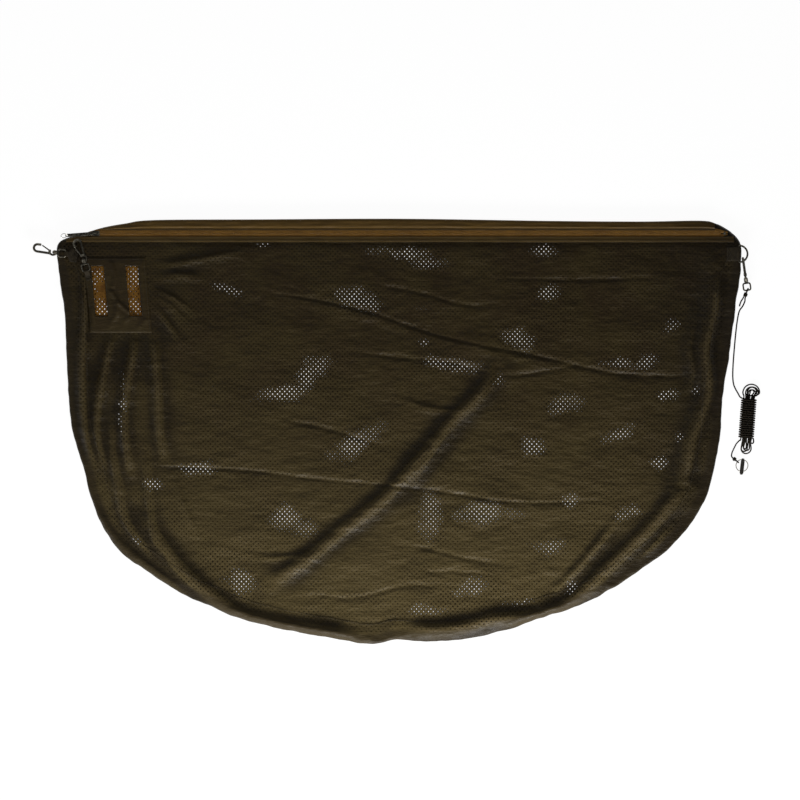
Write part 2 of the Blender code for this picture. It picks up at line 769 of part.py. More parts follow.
def make_pull(slider_frame):
    """Flat pull that swings on its cross bar in the bail, and the wire ring in its far hole."""
    turn = Matrix.Rotation(math.radians(PULL_YAW), 4, "Z") @ Matrix.Rotation(math.radians(-PULL_TILT), 4, "Y")
    frame = add_frame("pull_frame", Matrix.Translation((PULL_X, 0, PULL_Z)) @ turn, slider_frame)
    half = PULL_WIDTH / 2
    outline = [(PULL_BAR_RADIUS, -half), (PULL_BAR_RADIUS, half)]
    for i in range(9):
        angle = math.radians(90 + 22.5 * i)
        outline.append((half * math.cos(angle) - PULL_LENGTH, half * math.sin(angle)))
    thick = PULL_THICKNESS / 2
    edge = PULL_THICKNESS / 4
    middle = Vector((-PULL_LENGTH / 2, 0))
    rings = []
    for z, share in ((-thick, edge), (edge - thick, 0.0), (thick - edge, 0.0), (thick, edge)):
        ring = []
        for point in outline:
            inwards = Vector((-math.copysign(share, point[0] - middle.x), -math.copysign(share, point[1])))
            if abs(point[1]) < edge:
                inwards.y = 0.0
            ring.append((point[0] + inwards.x, point[1] + inwards.y, z))
        rings.append(ring)
    pull = add_mesh("pull_tab", loft(rings), GUNMETAL, frame)
    slot_half = BAIL_WIDTH / 2 + SLIDER_GAP + PIN_GAP
    slot = box(
        (-PULL_SLOT, -slot_half, -PULL_THICKNESS),
        (-PULL_BAR_RADIUS, slot_half, PULL_THICKNESS),
    )
    combine(pull, add_mesh("pull slot", slot, GUNMETAL, frame), "DIFFERENCE")
    for side in (-1, 1):
        relief = box(
            (-PULL_BAR_RADIUS, -PULL_WIDTH, side * PULL_BAR_RADIUS + min(0, side) * PULL_THICKNESS),
            (PULL_THICKNESS, PULL_WIDTH, side * PULL_BAR_RADIUS + max(0, side) * PULL_THICKNESS),
        )
        combine(pull, add_mesh(f"pull relief {side}", relief, GUNMETAL, frame), "DIFFERENCE")
    hole = loft([[(x - PULL_LENGTH, y, z) for x, y in circle(PULL_EYE, 16)] for z in (-PULL_THICKNESS, PULL_THICKNESS)])
    combine(pull, add_mesh("pull hole", hole, GUNMETAL, frame), "DIFFERENCE")

    radius = (PULL_RING_SIZE - PULL_RING_WIRE) / 2
    lie = Matrix.Translation((-PULL_LENGTH, 0, 0)) @ Matrix.Rotation(math.radians(PULL_RING_TILT), 4, "X")
    ring_frame = add_frame("pull_ring_frame", lie, frame)
    points = [(x - radius, y, 0) for x, y in circle(radius, 20)]
    add_wire("pull_ring", points, PULL_RING_WIRE / 2, GUNMETAL, ring_frame, closed=True)


def wrap(middle, bar, radius, out, widths, thickness):
    """Webbing in two plies that runs out from the middle, round a bar and back, as one strip.

    The route lies in the plane of the out direction and Z; widths are (distance from the bar, width).
    """
    turn = radius + WRAP_GAP + thickness / 2
    low = thickness / 2
    high = low + thickness + WRAP_GAP
    inner = (middle - bar).length
    rise = bar.z - middle.z
    route = [(-inner, low), (-0.62 * inner, low)]
    for i in range(9):
        angle = math.radians(-112 + 28 * i)
        route.append((turn * math.cos(angle), rise + turn * math.sin(angle)))
    route += [(-0.62 * inner, high), (-inner, high)]
    side = Vector((-out.y, out.x, 0))
    rings = []
    for i, (along, z) in enumerate(route):
        ahead = Vector(route[min(i + 1, len(route) - 1)]) - Vector(route[max(i - 1, 0)])
        skin = Vector((-ahead.y, ahead.x)).normalized() * thickness / 2
        width = widths[0][1] if -along < widths[0][0] else widths[1][1]
        ring = []
        for sign, half in ((1, width / 2), (1, -width / 2), (-1, -width / 2), (-1, width / 2)):
            place = Vector((bar.x, bar.y, middle.z)) + out * (along + sign * skin.x) + side * half
            ring.append((place.x, place.y, place.z + z + sign * skin.y))
        rings.append(ring)
    return loft(rings)


def plane_loop(points, radius, sides):
    """Closed round bar along a loop that lies in the XY plane."""
    points = [Vector((*point, 0)) for point in points]
    rings = []
    for i, point in enumerate(points):
        ahead = (points[(i + 1) % len(points)] - points[i - 1]).normalized()
        side = Vector((-ahead.y, ahead.x, 0))
        turn = math.pi / sides
        rings.append([point + side * c + Vector((0, 0, s)) for c, s in circle(radius, sides, turn)])
    return loft(rings, closed=True)


def arc(centre, radius, start, end, steps):
    angles = [math.radians(start + (end - start) * i / steps) for i in range(steps + 1)]
    return [(centre[0] + radius * math.cos(a), centre[1] + radius * math.sin(a)) for a in angles]


BARREL_START = EYE_LENGTH + EYE_WIRE / 2 + METAL_GAP
BARREL_END = BARREL_START + BARREL_LENGTH
BEND_RADIUS = (HOOK_INSIDE + HOOK_WIRE) / 2
BEND_X = HOOK_REACH - HOOK_WIRE / 2 - BEND_RADIUS
TIP_X = BEND_X - TIP_LEG
TIP_Y = 2 * BEND_RADIUS - SPINE_OFFSET
GATE_X = GATE_ROOT_FROM_BAR
GATE_Y = HOOK_WIRE / 2 - SPINE_OFFSET + METAL_GAP + GATE_ROOT_RADIUS


def make_eye(prefix, frame):
    """Swivel eye: a rounded square of wire, and a stud whose head holds the hook's barrel."""
    corner = EYE_CORNER
    half = EYE_WIDTH / 2 - corner
    loop = arc((corner, half), corner, 180, 90, 3) + arc((EYE_LENGTH - corner, half), corner, 90, 0, 3)
    loop += arc((EYE_LENGTH - corner, -half), corner, 0, -90, 3) + arc((corner, -half), corner, -90, -180, 3)
    eye = add_mesh(f"{prefix}_eye", plane_loop(loop, EYE_WIRE / 2, 8), GUNMETAL, frame)
    head = BARREL_END + METAL_GAP
    stud = turned(
        (
            (EYE_LENGTH, STUD_RADIUS),
            (head, STUD_RADIUS),
            (head, STUD_HEAD_RADIUS),
            (head + STUD_HEAD / 2, STUD_HEAD_RADIUS),
            (head + STUD_HEAD, STUD_RADIUS),
        ),
        12,
    )
    combine(eye, add_mesh(f"{prefix} stud", stud, GUNMETAL, frame), "UNION")
    return eye


def make_hook(prefix, frame, roll):
    """Cast hook that turns about its barrel's axis: barrel, neck, spine, bend, tip, ears and gate."""
    place = Matrix.Translation((BARREL_START, 0, 0)) @ Matrix.Rotation(math.radians(roll), 4, "X")
    axis = add_frame(f"{prefix}_hook_frame", place, frame)
    start = -BARREL_START
    edge = BARREL_RADIUS - BARREL_BORE
    barrel = drilled(
        (
            (0.0, BARREL_BORE),
            (0.0, BARREL_RADIUS - edge / 3),
            (edge / 3, BARREL_RADIUS),
            (BARREL_LENGTH - edge / 3, BARREL_RADIUS),
            (BARREL_LENGTH, BARREL_RADIUS - edge / 3),
            (BARREL_LENGTH, BARREL_BORE),
        ),
        14,
    )
    hook = add_mesh(f"{prefix}_hook", barrel, GUNMETAL, axis)

    full = HOOK_WIRE / 2
    neck = 0.8 * full
    neck_y = -STUD_HEAD_RADIUS - METAL_GAP - neck
    route = [
        (BARREL_END - 0.7 * BARREL_LENGTH, -BARREL_RADIUS, 0.5 * full),
        (BARREL_END - 0.35 * BARREL_LENGTH, 0.5 * (neck_y - BARREL_RADIUS), 0.65 * full),
        (BARREL_END, neck_y, neck),
        (BARREL_END + METAL_GAP + STUD_HEAD, neck_y, neck),
        (0.5 * (BARREL_END + STUD_HEAD + GATE_X), 0.5 * (neck_y - SPINE_OFFSET), 0.9 * full),
        (GATE_X, -SPINE_OFFSET, full),
    ]
    bend = arc((BEND_X, TIP_Y - BEND_RADIUS), BEND_RADIUS, -90, 90, 8)
    route += [(x, y, full) for x, y in bend]
    route += [(TIP_X + 0.35 * full, TIP_Y, full), (TIP_X, TIP_Y, 0.7 * full)]
    points = [(start + x, y, 0) for x, y, _ in route]
    spine = rod(points, [radius for _, _, radius in route], 10)
    combine(hook, add_mesh(f"{prefix} spine", spine, GUNMETAL, axis), "UNION")

    low = GATE_ROOT_LENGTH / 2 + PIN_GAP
    around = GATE_ROOT_RADIUS + PIN_GAP
    outline = [(GATE_X + around, -SPINE_OFFSET), *arc((GATE_X, GATE_Y), around, 0, 180, 6)]
    outline.append((GATE_X - around, -SPINE_OFFSET))
    outline = [(start + x, y) for x, y in outline]
    for side in (-1, 1):
        faces = sorted((side * low, side * (low + EAR_THICKNESS)))
        ear = slab(outline, faces[0], faces[1])
        combine(hook, add_mesh(f"{prefix} ear {side}", ear, GUNMETAL, axis), "UNION")
    long = low + EAR_THICKNESS
    bore = GATE_PIN_RADIUS + PIN_GAP
    drill = [[(start + GATE_X + x, GATE_Y + y, z) for x, y in circle(bore, 12)] for z in (-2 * long, 2 * long)]
    combine(hook, add_mesh(f"{prefix} pin hole", loft(drill), GUNMETAL, axis), "DIFFERENCE")

    hinge = (start + GATE_X, GATE_Y, 0)
    pin = [[(start + GATE_X + x, GATE_Y + y, z) for x, y in circle(GATE_PIN_RADIUS, 12)] for z in (-long, long)]
    add_mesh(f"{prefix}_gate_pin", loft(pin), DARK_METAL, axis, hinge)

    half = GATE_ROOT_LENGTH / 2
    root = drilled(
        ((-half, bore), (-half, GATE_ROOT_RADIUS), (half, GATE_ROOT_RADIUS), (half, bore)),
        14,
    )
    root.transform(Matrix.Translation(hinge) @ Matrix.Rotation(math.radians(90), 4, "Y"))
    gate = add_mesh(f"{prefix}_gate", root, DARK_METAL, axis, hinge)
    wire = GATE_WIRE / 2
    end = Vector((start + TIP_X - GATE_END_GAP - wire / 2, TIP_Y - wire / 2, 0))
    reach = (end - Vector(hinge)).normalized()
    first = Vector(hinge) + reach * (bore + PIN_GAP)
    arm = rod((first, first + reach * wire, end), (wire, wire, 0.9 * wire), 8)
    combine(gate, add_mesh(f"{prefix} gate arm", arm, DARK_METAL, axis), "UNION")
    return axis


def aim(place, angle, dip):
    turn = Matrix.Rotation(math.radians(angle), 4, "Z") @ Matrix.Rotation(math.radians(dip), 4, "Y")
    return Matrix.Translation(place) @ turn


def make_tabs_and_hooks():
    """Webbing tabs at the two zip corners, the loop on the pocket, and what hangs on each."""
    angle = math.radians(LEFT_HOOK_ANGLE)
    out = Vector((math.cos(angle), math.sin(angle), 0))
    bar = Vector((LEFT_BAR_INSET - HALF_LENGTH, TAB_Y, LEFT_BAR_Z))
    middle = Vector((bar.x, bar.y, STRIP_BASE)) - out * TAB_LENGTH
    narrow = EYE_WIDTH - EYE_WIRE - 1.3 * (EYE_CORNER - EYE_WIRE / 2)
    widths = ((EYE_LENGTH / 2, narrow), (TAB_LENGTH, WEBBING_WIDTH))
    strip = wrap(middle, bar, EYE_WIRE / 2, out, widths, WEBBING_THICKNESS)
    add_mesh("tab_left", strip, WEBBING)
    frame = add_frame("left_frame", aim(bar, LEFT_HOOK_ANGLE, LEFT_HOOK_DIP))
    make_eye("left", frame)
    make_hook("left", frame, 180)

    angle = math.radians(FRONT_HOOK_ANGLE)
    out = Vector((math.cos(angle), math.sin(angle), 0))
    bar = Vector(FRONT_BAR_AT)
    middle = Vector((bar.x, bar.y, POCKET_TOP + LAYER_GAP)) - out * LOOP_LENGTH
    widths = ((LOOP_LENGTH, narrow), (LOOP_LENGTH, narrow))
    add_mesh("clip_loop", wrap(middle, bar, EYE_WIRE / 2, out, widths, WEBBING_THICKNESS), WEBBING)
    frame = add_frame("front_frame", aim(bar, FRONT_HOOK_ANGLE, FRONT_HOOK_DIP))
    make_eye("front", frame)
    make_hook("front", frame, 0)

    out = Vector((1, 0, 0))
    wire = D_RING_WIRE / 2
    rise = WEBBING_THICKNESS / 2 + wire + WRAP_GAP + WEBBING_THICKNESS / 2
    bar = Vector((HALF_LENGTH - RING_BAR_INSET, TAB_Y, STRIP_BASE + rise))
    middle = Vector((bar.x, bar.y, STRIP_BASE)) - out * TAB_LENGTH
    widths = ((TAB_LENGTH, WEBBING_WIDTH), (TAB_LENGTH, WEBBING_WIDTH))
    add_mesh("tab_right", wrap(middle, bar, wire, out, widths, WEBBING_THICKNESS), WEBBING)
    radius = D_RING_INSIDE / 2 + wire
    straight = D_RING_INSIDE / 2 - wire / 2
    loop = [(0, -straight), (0, 0), (0, straight), (0.4 * wire, radius - 0.4 * wire)]
    loop += arc((0, 0), radius, 80, -80, 14)
    loop.append((0.4 * wire, 0.4 * wire - radius))
    ring_frame = add_frame("d_ring_frame", Matrix.Translation(bar))
    add_mesh("d_ring", plane_loop(loop, wire, 10), GUNMETAL, ring_frame)

    angle = math.radians(D_RING_ANGLE)
    contact = bar + Vector((math.cos(angle), math.sin(angle), 0)) * radius
    turn = aim((0, 0, 0), RIGHT_HOOK_ANGLE, -RIGHT_HOOK_DIP)
    held_at = HOOK_REACH - HOOK_WIRE - D_RING_SLACK - wire
    eye_bar = contact - turn @ Vector((held_at, 0, BEND_RADIUS - TIP_Y))
    frame = add_frame("right_frame", Matrix.Translation(eye_bar) @ turn)
    make_eye("right", frame)
    make_hook("right", frame, -90)
    return frame


def make_pocket():
    """Small corner pocket with two slanted windows, each filled by a flat net."""
    top = CHAIN_Y - POCKET_DROP
    left = POCKET_LEFT - HALF_LENGTH

    def slanted(along, width, drop, height, margin=0.0):
        corners = (
            (along + margin, drop + margin),
            (along + width - margin, drop + margin),
            (along + width - margin, drop + height - margin),
            (along + margin, drop + height - margin),
        )
        return [(left + x + POCKET_SLANT * y, top - y) for x, y in corners]

    cloth = slab(slanted(0, POCKET_WIDTH, 0, POCKET_HEIGHT), POCKET_BASE, POCKET_TOP)
    pocket = add_mesh("pocket", cloth, OLIVE)
    for name, along in (("left", LEFT_WINDOW_AT), ("right", RIGHT_WINDOW_AT)):
        window = slanted(along, WINDOW_WIDTH, WINDOW_DROP, WINDOW_HEIGHT)
        cutter = slab(window, POCKET_BASE - CLOTH, POCKET_TOP + CLOTH)
        combine(pocket, add_mesh(f"pocket window {name}", cutter, OLIVE), "DIFFERENCE")

        wide = WINDOW_WIDTH - 2 * SEAM_GAP
        tall = WINDOW_HEIGHT - 2 * SEAM_GAP
        across = net_lines(wide, NET_COLUMNS)
        down = net_lines(tall, NET_ROWS)
        bm = bmesh.new()
        rows = []
        for y in down:
            drop = WINDOW_DROP + SEAM_GAP + y
            start = left + along + SEAM_GAP + POCKET_SLANT * drop
            rows.append([bm.verts.new((start + x, top - drop, POCKET_BASE + NET_THICKNESS)) for x in across])
        for j in range(len(down) - 1):
            for i in range(len(across) - 1):
                if i % 2 == 0 or j % 2 == 0:
                    bm.faces.new((rows[j][i], rows[j + 1][i], rows[j + 1][i + 1], rows[j][i + 1]))
        net = add_mesh(f"mesh_strip_{name}", bm, MESH_ORANGE)
        thickness = net.modifiers.new("net thickness", "SOLIDIFY")
        thickness.thickness = NET_THICKNESS
        thickness.offset = -1.0


def net_lines(size, holes):
    """Edges of the bars and holes across a net: bar, hole, bar and so on."""
    bar = (size - holes * NET_HOLE) / (holes + 1)
    lines = [0.0]
    for _ in range(holes):
        lines += [lines[-1] + bar, lines[-1] + bar + NET_HOLE]
    return [*lines, size]


def make_knot(name, frame, bar_radius, length):
    """Tight knot along -X of the frame, with the cord's loop round a bar that lies along Y there."""
    turn = bar_radius + KNOT_SLACK + CORD / 2
    start = turn + CORD / 2
    step = length / (2 * KNOT_TURNS)
    profile = [(-start, 0.6 * KNOT_RADIUS)]
    for i in range(2 * KNOT_TURNS - 1):
        profile.append((-start - step * (i + 1), KNOT_RADIUS * (1.0 if i % 2 == 0 else 0.84)))
    profile.append((-start - length, 0.9 * KNOT_RADIUS))
    knot = add_mesh(name, turned(profile, 12), CORD_BROWN, frame)
    route = [(-start - step, -0.5 * CORD)]
    route += arc((0, 0), turn, -120, 120, 10)
    route.append((-start - step, 0.5 * CORD))
    loop = rod([(x, y, 0) for x, y in route], [CORD / 2] * len(route), 8)
    loop.transform(Matrix.Rotation(math.radians(90), 4, "X"))
    combine(knot, add_mesh(f"{name} loop", loop, CORD_BROWN, frame), "UNION")
    return start + length


def add_cord(name, route):
    """Cord along a smooth curve through the route's points."""
    points = smooth_route(route, 2.4 * CORD)
    add_wire(name, points, CORD / 2, CORD_BROWN)


def hank_end(side, rank, end, layer):
    """Where the run of one side and rank reaches the fold at the top (1) or the foot (-1)."""
    reach = HANK_FOLD_RADIUS + (rank - 0.5) * HANK_PITCH
    fan = HANK_FAN if end > 0 else 0.0
    height = CORD / 2 + LAYER_GAP / 6 + layer * HANK_LAYER
    return fan, reach, HANK_TOP_END if end > 0 else -HANK_FOOT_END, height


def hank_route():
    """Middle line of the hank in its own frame: across, along and height.

    Two flat spirals of long loops, the second on the first, then the wraps round the waist.
    """
    low = CORD / 2
    waist_low = low + CORD + HANK_GAP
    outer = (HANK_COLUMNS - 0.5) / 2
    ranks = [outer - 0.5 * k for k in range(HANK_COLUMNS)]
    runs = [(-1 if k % 2 == 0 else 1, rank, 0) for k, rank in enumerate(ranks)]
    runs += [(1 if k % 2 else -1, rank, 1) for k, rank in enumerate(ranks[-2:0:-1])]
    route = []
    for k, (side, rank, layer) in enumerate(runs):
        up = 1 if k % 2 == 0 else -1
        climbs = k == HANK_COLUMNS - 1
        before = layer
        after = 1 if climbs else layer
        waist = side * rank * HANK_PITCH
        for along, level in ((-up, before), (0, (before + after) / 2), (up, after)):
            route.append((waist, along * HANK_WAIST, waist_low + level * HANK_LAYER))
        if k == len(runs) - 1:
            break
        fan, reach, end, height = hank_end(side, rank, up, after)
        _, next_reach, _, _ = hank_end(*runs[k + 1][:2], up, after)
        middle = 0.5 * (waist + fan + side * reach), 0.5 * (up * HANK_WAIST + end)
        route.append((*middle, 0.5 * (waist_low + after * HANK_LAYER + height)))
        for i in range(7):
            angle = math.pi * i / 6
            radius = reach + (next_reach - reach) * i / 6
            x = fan + side * radius * math.cos(angle)
            route.append((x, end + up * radius * math.sin(angle), height))
        side_2, rank_2, _ = runs[k + 1]
        waist_2 = side_2 * rank_2 * HANK_PITCH
        middle = 0.5 * (waist_2 + fan + side_2 * next_reach), 0.5 * (up * HANK_WAIST + end)
        route.append((*middle, 0.5 * (waist_low + after * HANK_LAYER + height)))
    return route


def wrap_route(start, half_width, low, high):
    """Turns of the cord round the waist, from the right side down, under and up the left."""
    corner = HANK_CORNER
    middle = (low + high) / 2
    straight = (high - low) / 2 - corner
    turn = [(half_width, middle)]
    for across, level, first in ((1, -1, 0), (-1, -1, -90), (-1, 1, -180), (1, 1, -270)):
        centre = (across * (half_width - corner), middle + level * straight)
        turn += arc(centre, corner, first, first - 90, 4)
        if first == -90:
            turn.append((-half_width, middle))
        elif across == 1 and level == -1:
            turn.append((0, low))
        elif first == -180:
            turn.append((0, high))
    count = HANK_TURNS * len(turn) + 8
    pitch = 2 * HANK_WRAP / (count / len(turn))
    route = []
    for i in range(count):
        x, z = turn[i % len(turn)]
        route.append((x, start + pitch * i / len(turn), z))
    return route


def least_gap(route, radius):
    """Smallest gap of a tube to itself, leaving out what lies close along its own length."""
    points = [Vector(point) for point in route]
    fine = []
    travel = 0.0
    for first, second in zip(points, points[1:]):
        run = (second - first).length
        steps = max(1, round(run / radius))
        for step in range(steps):
            fine.append((travel + run * step / steps, first.lerp(second, step / steps)))
        travel += run
    least = math.inf
    for i, (place, point) in enumerate(fine):
        for other_place, other in fine[i + 1 :]:
            if other_place - place > 9 * radius:
                least = min(least, (other - point).length)
    return least - 2 * radius


def make_cord(eye_frame):
    """Retaining cord: knot on the eye, lead, wrapped hank, tail, ring knot, end ring and tag."""
    knot_place = Matrix.Rotation(math.radians(-KNOT_TURN), 4, "Z")
    knot_frame = add_frame("eye_knot_frame", knot_place, eye_frame)
    knot_end = make_knot("eye_knot", knot_frame, EYE_WIRE / 2, KNOT_LENGTH) + SEAM_GAP
    into_world = eye_frame.matrix_basis @ knot_place
    starts = []
    for side in (-1, 1):
        for along in (0.0, CORD):
            starts.append(into_world @ Vector((-knot_end - along, side * KNOT_EXIT, 0)))
    add_cord("cord_lead", [*starts[:2], *LEAD_ROUTE, *hank_exit(1)])
    add_cord("knot_tail", [*starts[2:], *KNOT_TAIL_ROUTE])

    low = CORD / 2
    waist_high = low + CORD + HANK_GAP + HANK_LAYER
    bend = [(x / 1000, y / 1000, z / 1000) for x, y, z in HANK_BEND]
    half_width = (HANK_COLUMNS - 0.5) / 2 * HANK_PITCH + CORD + HANK_SIDE_GAP
    wraps = wrap_route(-HANK_WRAP, half_width, low, waist_high + CORD + HANK_GAP)
    route = [*hank_start(), *hank_route(), *bend, *wraps, *hank_finish()]
    print(f"hank: least gap to itself {1000 * least_gap(route, CORD / 2):.2f} mm")
    frame = add_frame("hank_frame", hank_place())
    hank = add_wire("cord_hank", route, CORD / 2, CORD_BROWN, frame)
    hank.data.bevel_resolution = 1

    angle = math.radians(RING_KNOT_ANGLE)
    radius = (END_RING_SIZE - END_RING_WIRE) / 2
    knot_z = END_RING_WIRE / 2 + KNOT_SLACK + CORD + LAYER_GAP / 3
    fall = math.asin((knot_z - END_RING_WIRE / 2) / (2 * radius))
    at_knot = Vector((*END_RING_AT, 0)) + Vector((math.cos(angle), math.sin(angle), 0)) * radius
    at_knot.z = knot_z
    knot_frame = add_frame("ring_knot_frame", aim(at_knot, RING_KNOT_ANGLE + 180, 0))
    ring_knot_end = make_knot("ring_knot", knot_frame, END_RING_WIRE / 2, RING_KNOT_LENGTH) + SEAM_GAP
    ends = [knot_frame.matrix_basis @ Vector((-ring_knot_end - along, 0, 0)) for along in (CORD, 0.0)]
    add_cord("cord_tail", [*hank_exit(-1)[::-1], *TAIL_ROUTE, *ends])

    ring_frame = add_frame("end_ring_frame", aim(at_knot, RING_KNOT_ANGLE + 180, math.degrees(fall)))
    points = [(x + radius, y, 0) for x, y in circle(radius, 28)]
    add_wire("end_ring", points, END_RING_WIRE / 2, GUNMETAL, ring_frame, closed=True)

    turn = math.radians(TAG_AT - RING_KNOT_ANGLE - 180)
    lie = Matrix.Translation((radius, 0, 0)) @ Matrix.Rotation(turn, 4, "Z")
    lie = lie @ Matrix.Translation((radius, 0, 0)) @ Matrix.Rotation(math.radians(180 + TAG_SKEW), 4, "Z")
    lie = lie @ Matrix.Rotation(math.radians(-TAG_LIFT), 4, "Y")
    tag_frame = add_frame("ring_tag_frame", lie, ring_frame)
    half = TAG_WIDTH / 2
    eye_half = TAG_EYE_WIDTH / 2
    back = END_RING_WIRE / 2 + METAL_GAP + TAG_WALL
    thick = TAG_THICKNESS / 2
    edge = TAG_THICKNESS / 4
    rings = []
    for z, share in ((-thick, edge), (edge - thick, 0.0), (thick - edge, 0.0), (thick, edge)):
        outline = (
            (2 * share - back, share - eye_half),
            (TAG_SHOULDER, share - half),
            (TAG_LENGTH - back - half, share - half),
            (TAG_LENGTH - back - share, 0.5 * (share - half)),
            (TAG_LENGTH - back - share, 0.5 * (half - share)),
            (TAG_LENGTH - back - half, half - share),
            (TAG_SHOULDER, half - share),
            (2 * share - back, eye_half - share),
        )
        rings.append([(x, y, z) for x, y in outline])
    tag = add_mesh("ring_tag", loft(rings), RUBBER, tag_frame)
    bore = END_RING_WIRE / 2 + METAL_GAP + TAG_EYE_WIDTH**2 / (8 * radius)
    hole = circle(bore, 12, math.pi / 12)
    drill = loft([[(x, y, z) for x, z in hole] for y in (-TAG_WIDTH, TAG_WIDTH)])
    combine(tag, add_mesh("tag hole", drill, RUBBER, tag_frame), "DIFFERENCE")


def hank_place():
    foot = Vector((*HANK_FOOT, 0))
    top = Vector((*HANK_TOP, 0))
    along = (top - foot).normalized()
    turn = Matrix.Rotation(math.atan2(-along.x, along.y), 4, "Z")
    return Matrix.Translation((foot + top) / 2) @ turn


def hank_start():
    return [Vector(point) / 1000 for point in HANK_START]


def hank_finish():
    return [Vector(point) / 1000 for point in HANK_FINISH]


def hank_exit(end):
    """Two points just past the hank's last end (1) or before its first one (-1), outermost last."""
    line = hank_finish() if end > 0 else hank_start()[::-1]
    out = (line[-1] - line[-2]).normalized()
    inner, outer = (hank_place() @ (line[-1] + out * reach) for reach in (SEAM_GAP, SEAM_GAP + CORD))
    return [outer, inner] if end > 0 else [inner, outer][::-1]


make_panels()
make_gusset()
make_zip()
make_pull(make_slider())
make_pocket()
make_cord(make_tabs_and_hooks())
bpy.context.view_layer.update()
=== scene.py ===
import math

import bmesh
import bpy
import numpy as np
from mathutils import Matrix, Vector, noise


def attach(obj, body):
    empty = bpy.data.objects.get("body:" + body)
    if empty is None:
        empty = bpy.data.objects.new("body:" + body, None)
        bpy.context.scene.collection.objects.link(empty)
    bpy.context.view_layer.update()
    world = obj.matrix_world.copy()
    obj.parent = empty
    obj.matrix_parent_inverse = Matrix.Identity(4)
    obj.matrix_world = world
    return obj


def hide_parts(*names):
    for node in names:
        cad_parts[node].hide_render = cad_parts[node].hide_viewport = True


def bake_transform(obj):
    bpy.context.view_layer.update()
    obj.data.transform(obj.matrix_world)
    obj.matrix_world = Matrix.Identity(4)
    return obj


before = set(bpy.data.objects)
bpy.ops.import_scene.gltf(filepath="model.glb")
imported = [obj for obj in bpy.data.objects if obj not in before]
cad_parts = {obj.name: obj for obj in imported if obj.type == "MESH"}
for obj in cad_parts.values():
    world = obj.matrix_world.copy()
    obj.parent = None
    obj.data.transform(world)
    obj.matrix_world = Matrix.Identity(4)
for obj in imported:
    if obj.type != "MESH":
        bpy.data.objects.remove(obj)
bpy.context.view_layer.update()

# The camera hangs straight over the sack and sees it flat, square to the zip. The view is 1.392 m
# wide, so that one pixel of an 800 pixel picture is 1.74 mm on the cloth.
camera = bpy.data.cameras.new("overhead_camera")
camera.type = "ORTHO"
camera.ortho_scale = 1.392
camera.clip_end = 20.0
camera_object = bpy.data.objects.new("overhead_camera", camera)
camera_object.location = (0.0, 0.0548, 3.0)
bpy.context.scene.collection.objects.link(camera_object)
bpy.context.scene.camera = camera_object
bpy.context.scene.view_settings.view_transform = "Standard"

# Retaining cord: 2.5 mm braided nylon, tied to the hook's swivel eye, run down beside the sack to a
# hank of long loops bound round its waist, and out of it again to a wire ring. The route follows the
# solid cord; only the bends at the loops' ends reach a little past it.
CORD = 0.0025
LEAD = (
    (0.60123, 0.23347, 0.00482), (0.60029, 0.23117, 0.00452), (0.60000, 0.22650, 0.00340),
    (0.59620, 0.21800, 0.00160), (0.59050, 0.20950, 0.00130), (0.58720, 0.19500, 0.00130),
    (0.58450, 0.17400, 0.00130), (0.58150, 0.14200, 0.00130), (0.57950, 0.11500, 0.00130),
    (0.57900, 0.09600, 0.00130), (0.58030, 0.08300, 0.00130), (0.58350, 0.07450, 0.00130),
)
LEAD_SPLIT_Y = 0.2045  # the part above it follows the hook
HANK_TOP = Vector((0.6073, 0.0583, 0.0))
HANK_FOOT = Vector((0.6020, -0.0131, 0.0))
TAIL = (
    (0.58100, -0.02950, 0.00130), (0.57800, -0.03600, 0.00150), (0.57680, -0.04150, 0.00240),
    (0.57741, -0.04435, 0.00390), (0.57932, -0.04596, 0.00390),
)
# Ends of the hank and the bend into its wraps: millimetres across, along and above the surface.
HANK_START = ((-16.5, -46.0, 1.3), (-15.1, -43.9, 1.3), (-13.0, -41.2, 1.9), (-10.6, -38.4, 3.2))
HANK_BEND = ((7.9, -39.5, 7.2), (9.6, -42.0, 6.9), (12.3, -42.4, 6.5), (13.6, -40.0, 6.2), (13.2, -36.8, 6.0))
HANK_FINISH = ((-11.5, 34.4, 1.27), (-14.0, 35.3, 1.3), (-16.3, 37.1, 1.3), (-17.8, 39.3, 1.3), (-19.1, 41.5, 1.3))
LOOP_COLUMNS = 6
LOOP_PITCH = 0.0033
LOOP_LAYER = 0.00305
LOOP_GAP = 0.0005
TIGHTEST_BEND = 0.0030
WAIST_HALF = 0.0360
WRAP_HALF = 0.0340
WRAP_TURNS = 17
WRAP_CORNER = 0.0035
TOP_FOLD = 0.0455
FOOT_FOLD = 0.0524
TOP_FAN = 0.0042


def smooth_route(points, spacing, closed=False):
    """Catmull-Rom curve through the points, read at about the spacing."""
    points = [Vector(point) for point in points]
    count = len(points)
    route = []
    for i in range(count if closed else count - 1):
        if closed:
            a, b, c, d = (points[(i + k) % count] for k in (-1, 0, 1, 2))
        else:
            a, b, c, d = (points[min(max(i + k, 0), count - 1)] for k in (-1, 0, 1, 2))
        steps = max(1, round((c - b).length / spacing))
        for step in range(steps):
            t = step / steps
            square = (2 * a - 5 * b + 4 * c - d) * t**2
            route.append(0.5 * (2 * b + (c - a) * t + square + (3 * b - a - 3 * c + d) * t**3))
    if not closed:
        route.append(points[-1])
    return route


def arc(centre, radius, start, end, steps):
    angles = [math.radians(start + (end - start) * i / steps) for i in range(steps + 1)]
    return [(centre[0] + radius * math.cos(a), centre[1] + radius * math.sin(a)) for a in angles]


